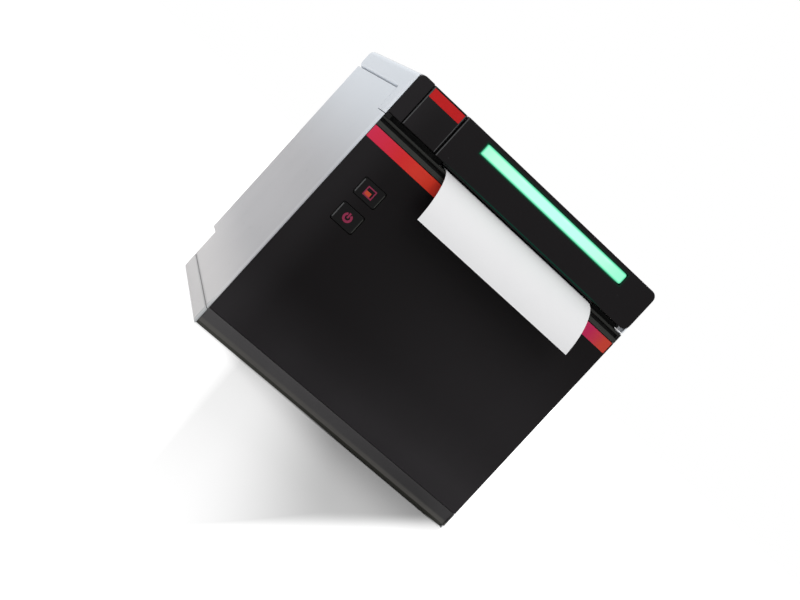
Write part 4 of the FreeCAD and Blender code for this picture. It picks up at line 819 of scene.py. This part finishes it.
def slot_ends():
    """Near-black blocks that stand in for the shade in the slot, each side of the paper and at its ends, and
    in the gap beside the release button, as painted shade.
    """
    top = bounds("lower_lip")[1].z
    button = bounds("release_button")
    band = bounds("cover_front")
    # Painted shade: near-black blocks in the slot either side of the paper.
    form = Form("slot_painted_shade", shade_black)
    under_button = button[0].x - 0.1
    for left, right, rise in ((-62.9, under_button, 2.4), (under_button, -35.2, 2.13), (49.2, 62.9, 1.9)):
        form.block((left, -47.1, top - 0.1), (right, -46.6, top + rise))
    form.block((-64.8, -51.2, top - 0.1), (-62.4, -48.5, top + 1.85))
    form.settle("base", edge=0.1)
    # Painted shade at the right end of the lip's groove.
    form = Form("lip_end_painted_shade", shade_black)
    form.block((64.3, -51.3, top - 2.58), (64.95, -49.7, top - 1.42))
    form.settle("base", edge=0.1)
    # Painted shade in the gap beside the release button.
    form = Form("release_side_painted_shade", shade_black)
    form.block((button[1].x + 0.15, -48.9, band[0].z + 0.4), (band[0].x - 0.05, -48.4, band[1].z - 0.4))
    form.settle("cover", edge=0.1)


def glowing_bar():
    """The diffuser, with rounded corners, set a hair behind the band's face."""
    low, high = bounds("light_bar")
    gap, corner, sunk = 0.1, 1.3, 0.05
    outline = [(z, x) for x, z in rounded(low.x + gap, low.z + gap, high.x - gap, high.z - gap, corner)]
    form = Form("diffuser_bar", finishes["light_green"])
    form.prism("Y", outline, low.y + sunk, high.y)
    form.settle("cover", ("light_bar",), edge=0.12)


def key_icons():
    """A broken ring with a bar on the lower key, and a framed ticket on the upper one."""
    low, high = bounds("power_icon")
    across, up = (low.x + high.x) / 2, low.z + 2.1
    form = Form("power_mark", finishes["icon_red"])
    form.sector("Y", (up, across), 1.05, 2.05, math.radians(28.0), math.radians(304.0), low.y, high.y, 40)
    form.block((across - 0.4, low.y, up - 0.2), (across + 0.4, high.y, up + 2.1))
    form.settle("power_key", ("power_icon",), edge=0.07)

    low, high = bounds("feed_icon")
    line = 0.5
    left, right = low.x + 0.15, high.x - 0.15
    foot, head = low.z + line, high.z - line
    form = Form("ticket_mark", finishes["icon_red"], orange_ink)
    for x, z in (((left, right), (head, high.z)), ((left, right), (low.z, foot)),
                 ((left, left + line), (foot, head)), ((right - line, right), (foot, head))):
        form.block((x[0], low.y, z[0]), (x[1], high.y, z[1]))
    form.block((left + line, low.y + 0.02, foot), (right - 1.3, high.y, low.z + 2.2), 1)
    form.settle("feed_key", ("feed_icon",), edge=0.06)


def key_rims():
    """Thin ridges down the two upright edges of each key's face, inside its hidden flange, paler than the
    key as painted highlights.
    """
    flange, proud, depth = 1.0, 0.04, 0.3
    for name, node, body in (("power_key_highlight_ridges", "power_button", "power_key"),
                             ("feed_key_highlight_ridges", "feed_button", "feed_key")):
        low, high = bounds(node)
        left, right = low.x + flange, high.x - flange
        foot, head = low.z + flange + 0.8, high.z - flange - 0.8
        form = Form(name, painted_highlight_edge, lip_grey)
        # The left ridge takes the stronger painted highlight, the right one a fainter one.
        form.block((left + 0.2, low.y - proud, foot), (left + 0.72, low.y + depth, head))
        form.block((right - 0.5, low.y - proud, foot), (right - 0.08, low.y + depth, head), 1)
        form.settle(body, edge=0.05)


def screw(form, axis, middle, seat, out, radius, height):
    """A pan-head screw; out is +1 or -1 along the axis. The form's second material fills its cross, as
    painted shade in the recess.
    """
    profile = [(radius * across, seat + out * height * up)
               for across, up in ((1.0, 0.0), (1.0, 0.45), (0.82, 0.85), (0.5, 1.0), (0.05, 1.0))]
    form.turned(axis, middle, profile if out > 0 else profile[::-1], 28)
    u, v, w = AXES[axis]
    floor, face = sorted((seat + out * height * 0.8, seat + out * (height + 0.02)))
    for long, short in ((radius * 0.6, radius * 0.13), (radius * 0.13, radius * 0.6)):
        low, high = [0.0] * 3, [0.0] * 3
        low[u], high[u] = middle[0] - long, middle[0] + long
        low[v], high[v] = middle[1] - short, middle[1] + short
        low[w], high[w] = floor, face
        form.block(low, high, 1)


def underside():
    """Screws with their shanks, turned rubber feet and a blank plate under the base."""
    plate, head = 1.2, 0.58
    tip = bounds("base_screws")[1].z
    form = Form("base_screw_heads", finishes["steel"], shade_black)
    for x in (-58.5, 58.5):
        for y in (-42.0, 46.0):
            screw(form, "Z", (x, y), plate, -1, 2.6, head)
            form.turned("Z", (x, y), [(1.25, plate), (1.25, tip)], 16)
    form.settle("base", ("base_screws",))

    foot = [(1.0, 0.5), (3.4, 0.5), (3.8, 0.12), (4.4, 0.0), (5.7, 0.0), (6.3, 0.12), (6.5, 0.4), (6.5, 1.2),
            (1.9, 1.2), (1.9, 2.5), (1.5, 2.8), (0.3, 2.8)]
    form = Form("turned_feet", finishes["foot_rubber"])
    for x in (-44.0, 44.0):
        for y in (-25.5, 40.5):
            form.turned("Z", (x, y), foot, 56)
    form.settle("base", ("rubber_feet",), sharp=50.0)

    form = Form("blank_rating_plate", foil)
    form.prism("Z", rounded(-21.0, -8.0, 21.0, 18.0, 2.0), 1.05, plate)
    form.settle("base", edge=0.03)


def rounded(left, low, right, high, radius):
    """The outline of a rectangle with rounded corners."""
    steps = 5
    points = []
    for x, z, start in ((right - radius, low + radius, -90), (right - radius, high - radius, 0),
                        (left + radius, high - radius, 90), (left + radius, low + radius, 180)):
        for i in range(steps + 1):
            angle = math.radians(start + 90 * i / steps)
            points.append((x + radius * math.cos(angle), z + radius * math.sin(angle)))
    return points


def paper_supply():
    """The roll: thousands of turns show as fine steps at its ends, round the card core."""
    low, high = bounds("paper_roll")
    middle = ((low.y + high.y) / 2, (low.z + high.z) / 2)
    outside, bore, count = (high.y - low.y) / 2, 8.0, 22
    draw = random.Random(7)
    steps = [bore + 0.02 + (outside - bore - 0.05) * i / count for i in range(count + 1)]
    left, right = [], []
    for near, far in zip(steps, steps[1:]):
        for side in (left, right):
            inset = draw.uniform(0.0, 0.16)
            side += [(near + 0.02, inset), (far - 0.02, inset)]
    profile = [(radius, high.x - inset) for radius, inset in right]
    profile += [(radius, low.x + inset) for radius, inset in reversed(left)]
    form = Form("wound_roll", finishes["paper"], windings)
    form.turned("X", middle, profile, 112, closed=True)
    form.mesh.normal_update()
    for face in form.mesh.faces:
        if abs(face.normal.x) > 0.5:
            face.material_index = 1
    form.settle("roll", ("paper_roll",), sharp=40.0)


def coil(x, y, low, high, radius, wire, turns):
    """The path of a round spring standing on Z, with its end turns closed."""
    closed, lift = 0.12, 0.06       # shares of the wire and of the height that each end turn takes
    count = int(turns * 18)
    path = []
    for i in range(count + 1):
        part = i / count
        climb = min(1.0, max(0.0, (part - closed) / (1 - 2 * closed)))
        angle = 2 * math.pi * turns * part
        rise = low + wire + (high - low - 2 * wire) * (
            lift * min(part / closed, 1.0) + (1 - 2 * lift) * climb
            + lift * max(0.0, (part - 1 + closed) / closed))
        path.append((x + radius * math.cos(angle), y + radius * math.sin(angle), rise))
    return path


def head_parts():
    """The three coil springs that press the print head up."""
    low, high = bounds("head_springs")
    form = Form("coil_springs", finishes["steel"])
    wire = 0.35
    for x in (-26.0, 7.0, 40.0):
        form.tube(coil(x, (low.y + high.y) / 2, low.z, high.z, 2.55, wire, 5.5), wire, 8)
    form.settle("base", ("head_springs",), sharp=60.0)


BLACK, TIN, SLEEVE, PAINTED_SHADE, CAN, CARD = range(6)      # the board parts' materials, in their form's order


def chip(form, x, row, top, size, height, legs):
    """A square chip with bent legs down its four sides and a near-black dot by its first pin, as painted
    shade in its dimple.
    """
    reach = size / 2 - 1.1
    form.block((x - reach, row - reach, top + 0.15), (x + reach, row + reach, top + height))
    dot = [(0.5, top + height - 0.02), (0.45, top + height + 0.01)]
    form.turned("Z", (x - reach + 1.5, row - reach + 1.5), dot, 16, PAINTED_SHADE)
    for i in range(legs):
        along = -reach + 0.8 + (2 * reach - 1.6) * i / (legs - 1)
        for sign in (-1, 1):
            shoulder = sorted((sign * reach, sign * (size / 2)))
            foot = sorted((sign * (size / 2 - 0.45), sign * (size / 2)))
            for cross in (False, True):
                for (near, far), low, high in ((shoulder, 0.55, 0.75), (foot, 0.0, 0.7)):
                    start, end = (near, along - 0.18), (far, along + 0.18)
                    if cross:
                        start, end = start[::-1], end[::-1]
                    form.block((x + start[0], row + start[1], top + low),
                               (x + end[0], row + end[1], top + high), TIN)


def capacitor(form, x, row, top):
    """A sleeved can, ribbed near its foot, with three scored lines across its top, drawn near black as
    painted shade.
    """
    form.turned("Z", (x, row), [(3.9, top), (4.0, top + 0.4), (4.0, top + 1.6), (3.7, top + 1.9),
                                (4.0, top + 2.2), (4.0, top + 10.5), (3.8, top + 10.8)], 40, SLEEVE)
    form.turned("Z", (x, row), [(3.5, top + 10.75), (3.4, top + 11.0)], 40, CAN)
    for turn in (0.0, 60.0, 120.0):
        across = Vector((math.cos(math.radians(turn)), math.sin(math.radians(turn))))
        side = Vector((-across.y, across.x)) * 0.12
        across *= 2.7
        ends = [across + side, -across + side, -across - side, across - side]
        form.prism("Z", [(x + end.x, row + end.y) for end in ends], top + 10.95, top + 11.0, PAINTED_SHADE)


def small_parts(form, top):
    """Rows of resistors and capacitors with tinned ends, drawn at random."""
    draw = random.Random(11)
    for _ in range(46):
        x, y = draw.uniform(-50.0, 50.0), draw.choice((-21.0, -17.5, 4.5, 8.0, 24.5, 28.0, 31.5))
        wide, long, tall = draw.choice(((1.6, 0.8, 0.45), (2.0, 1.25, 0.6), (1.0, 0.5, 0.35)))
        if draw.random() < 0.4:
            wide, long = long, wide
        body = draw.choice((BLACK, CARD))
        form.block((x - wide / 2, y - long / 2, top), (x + wide / 2, y + long / 2, top + tall), TIN)
        form.block((x - wide * 0.3, y - long * 0.52, top),
                   (x + wide * 0.3, y + long * 0.52, top + tall + 0.02), body)


def pin_header(form, x, count, top):
    """A walled plug seat with one row of pins, two millimetres apart."""
    reach = count * 1.0
    for front, rear, height in ((-24.5, -24.0, 5.0), (-21.5, -20.9, 5.0), (-24.0, -21.5, 0.8)):
        form.block((x - reach, front, top), (x + reach, rear, top + height), CARD)
    for i in range(count):
        pin = x - reach + 1.0 + 2.0 * i
        form.block((pin - 0.25, -22.9, top), (pin + 0.25, -22.4, top + 4.4), TIN)


def board_details():
    """Chips with their legs, ribbed capacitors, a buzzer, rows of small parts and two plug seats."""
    top = bounds("main_board")[1].z
    chip_row, capacitor_row = -5.5, 16.5
    form = Form("board_components", finishes["part_black"], finishes["steel"], sleeve, shade_black,
                finishes["aluminium"], finishes["card"])
    for x, size, height, legs in ((-23.0, 14.0, 1.4, 12), (8.0, 9.0, 1.4, 8), (31.0, 11.0, 3.0, 7)):
        chip(form, x, chip_row, top, size, height, legs)
    for x in (-44.0, -33.0, 44.0):
        capacitor(form, x, capacitor_row, top)
    form.turned("Z", (46.0, chip_row), [(5.9, top), (6.0, top + 0.4), (6.0, top + 5.6), (5.7, top + 6.0),
                                        (1.3, top + 6.0), (1.2, top + 5.2), (0.2, top + 5.2)], 48)
    small_parts(form, top)
    for x, count in ((-12.0, 6), (20.0, 8)):
        pin_header(form, x, count, top)
    form.settle("base", ("board_parts",), edge=0.05)


def port_contacts():
    """The sprung contacts inside the sockets, and the screws of the port plate."""
    form = Form("socket_contacts", gold)
    pitch, wire = 1.02, 0.2
    for node, count, mouth in (("lan_port", 8, 4.1), ("drawer_port", 6, 3.5)):
        low, high = bounds(node)
        middle, head = (low.x + high.x) / 2, (low.z + high.z) / 2 + mouth
        for i in range(count):
            x = middle + (i - (count - 1) / 2) * pitch
            form.tube([(x, high.y - deep, head - drop) for deep, drop in
                       ((2.2, 0.25), (3.2, 0.3), (6.5, 1.9), (10.5, 3.4))], wire, 6)
    low, high = bounds("usb_port")
    middle, level = (low.x + high.x) / 2, (low.z + high.z) / 2
    for sign in (-1, 1):
        near, far = sorted((level + sign * 1.6, level + sign * 1.78))
        for x in (middle - 1.25, middle + 1.25):
            form.block((x - 0.5, high.y - 8.5, near), (x + 0.5, high.y - 1.3, far))
    form.settle("base", edge=0.04)
    form = Form("port_plate_screws", finishes["steel"], shade_black)
    face = bounds("port_plate")[1].y
    for x in (-58.0, 58.0):
        for z in (5.6, 14.2):
            screw(form, "Y", (z, x), face, 1, 2.3, 1.2)
    form.settle("base")


front_edges()
slot_ends()
seam_seals()
glowing_bar()
key_icons()
key_rims()
underside()
paper_supply()
head_parts()
board_details()
port_contacts()


def backdrop():
    """White where a straight, mirrored or clear line of sight meets it, and dimmer as a light."""
    world = bpy.data.worlds.new("Studio")
    scene.world = world
    world.use_nodes = True
    tree = world.node_tree
    rays = tree.nodes.new("ShaderNodeLightPath")
    seen = rays.outputs["Is Camera Ray"]
    for kind in ("Is Glossy Ray", "Is Transmission Ray"):
        either = tree.nodes.new("ShaderNodeMath")
        either.operation = "MAXIMUM"
        tree.links.new(seen, either.inputs[0])
        tree.links.new(rays.outputs[kind], either.inputs[1])
        seen = either.outputs[0]
    strength = tree.nodes.new("ShaderNodeMapRange")
    strength.inputs["To Min"].default_value = 0.45
    strength.inputs["To Max"].default_value = 1.0
    tree.links.new(seen, strength.inputs["Value"])
    sky = tree.nodes["Background"]
    sky.inputs["Color"].default_value = (1.0, 1.0, 1.0, 1.0)
    tree.links.new(strength.outputs["Result"], sky.inputs["Strength"])


def floor_white():
    """A matt white floor that keeps the soft shadow, whose own glow is painted to shape that shadow's edge
    and fade, and which runs out into the backdrop's white.
    """
    made = Finish("floor_white", (0.58, 0.58, 0.58), 0.9, gloss=0.0)
    x, y, _ = made.axes()
    rays = made.node("ShaderNodeLightPath")
    straight, mirrored, clear = [Value(made, rays.outputs[kind]) for kind in
                                 ("Is Camera Ray", "Is Glossy Ray", "Is Transmission Ray")]
    seen = straight.most(mirrored).most(clear)
    half_width, half_depth = 66.0, 69.0
    beside, before = (abs(x) - half_width).most(0.0), (abs(y) - half_depth).most(0.0)
    away = (beside * beside + before * before) ** 0.5
    # Painted shadow shape: the floor's glow is least at the front right corner, grows to the left and past a
    # straight line, so the shadow is deepest there, thins to the left and ends on that line.
    along = x * 0.718 - y * 0.169
    past = (x - 68.8) * 0.8495 - (y + 37.9) * 0.5276
    painted_shadow_thinning = along.rise(17.0, -14.0) * 0.35
    bright = past.rise(-5.0, 6.5).most(x.rise(62.0, 76.0)).most(along.rise(-12.0, -30.0))
    lift = painted_shadow_thinning.most(bright * 0.7) + away.rise(60.0, 420.0) * 0.2 + away.rise(500.0, 1800.0) * 0.4
    made.set("Emission Color", made.blend(seen * lift, (0.0, 0.0, 0.0), (1.0, 1.0, 1.0)))
    made.shader.inputs["Emission Strength"].default_value = 1.0
    return made.material


def studio():
    """The floor and three soft lamps: from the front, from the left, and a strip from behind."""
    backdrop()
    reach = 4.0
    mesh = bpy.data.meshes.new("Floor")
    mesh.from_pydata([(-reach, -reach, 0), (reach, -reach, 0), (reach, reach, 0), (-reach, reach, 0)],
                     [], [(0, 1, 2, 3)])
    floor = bpy.data.objects.new("Floor", mesh)
    scene.collection.objects.link(floor)
    mesh.materials.append(floor_white())
    lamp("Key", (-0.15, -1.15, 0.95), (0.0, 0.0, 0.06), 0.8, 0.8, 9.0)
    lamp("Side", (-0.36, 0.12, 0.5), (-0.06, 0.0, 0.1), 0.3, 0.3, 1.2)
    lamp("Back_strip", (0.72, 1.13, 0.75), (0.0, 0.0, 0.05), 0.1, 1.2, 9.0)


set_camera()
studio()
scene.view_settings.view_transform = "Standard"
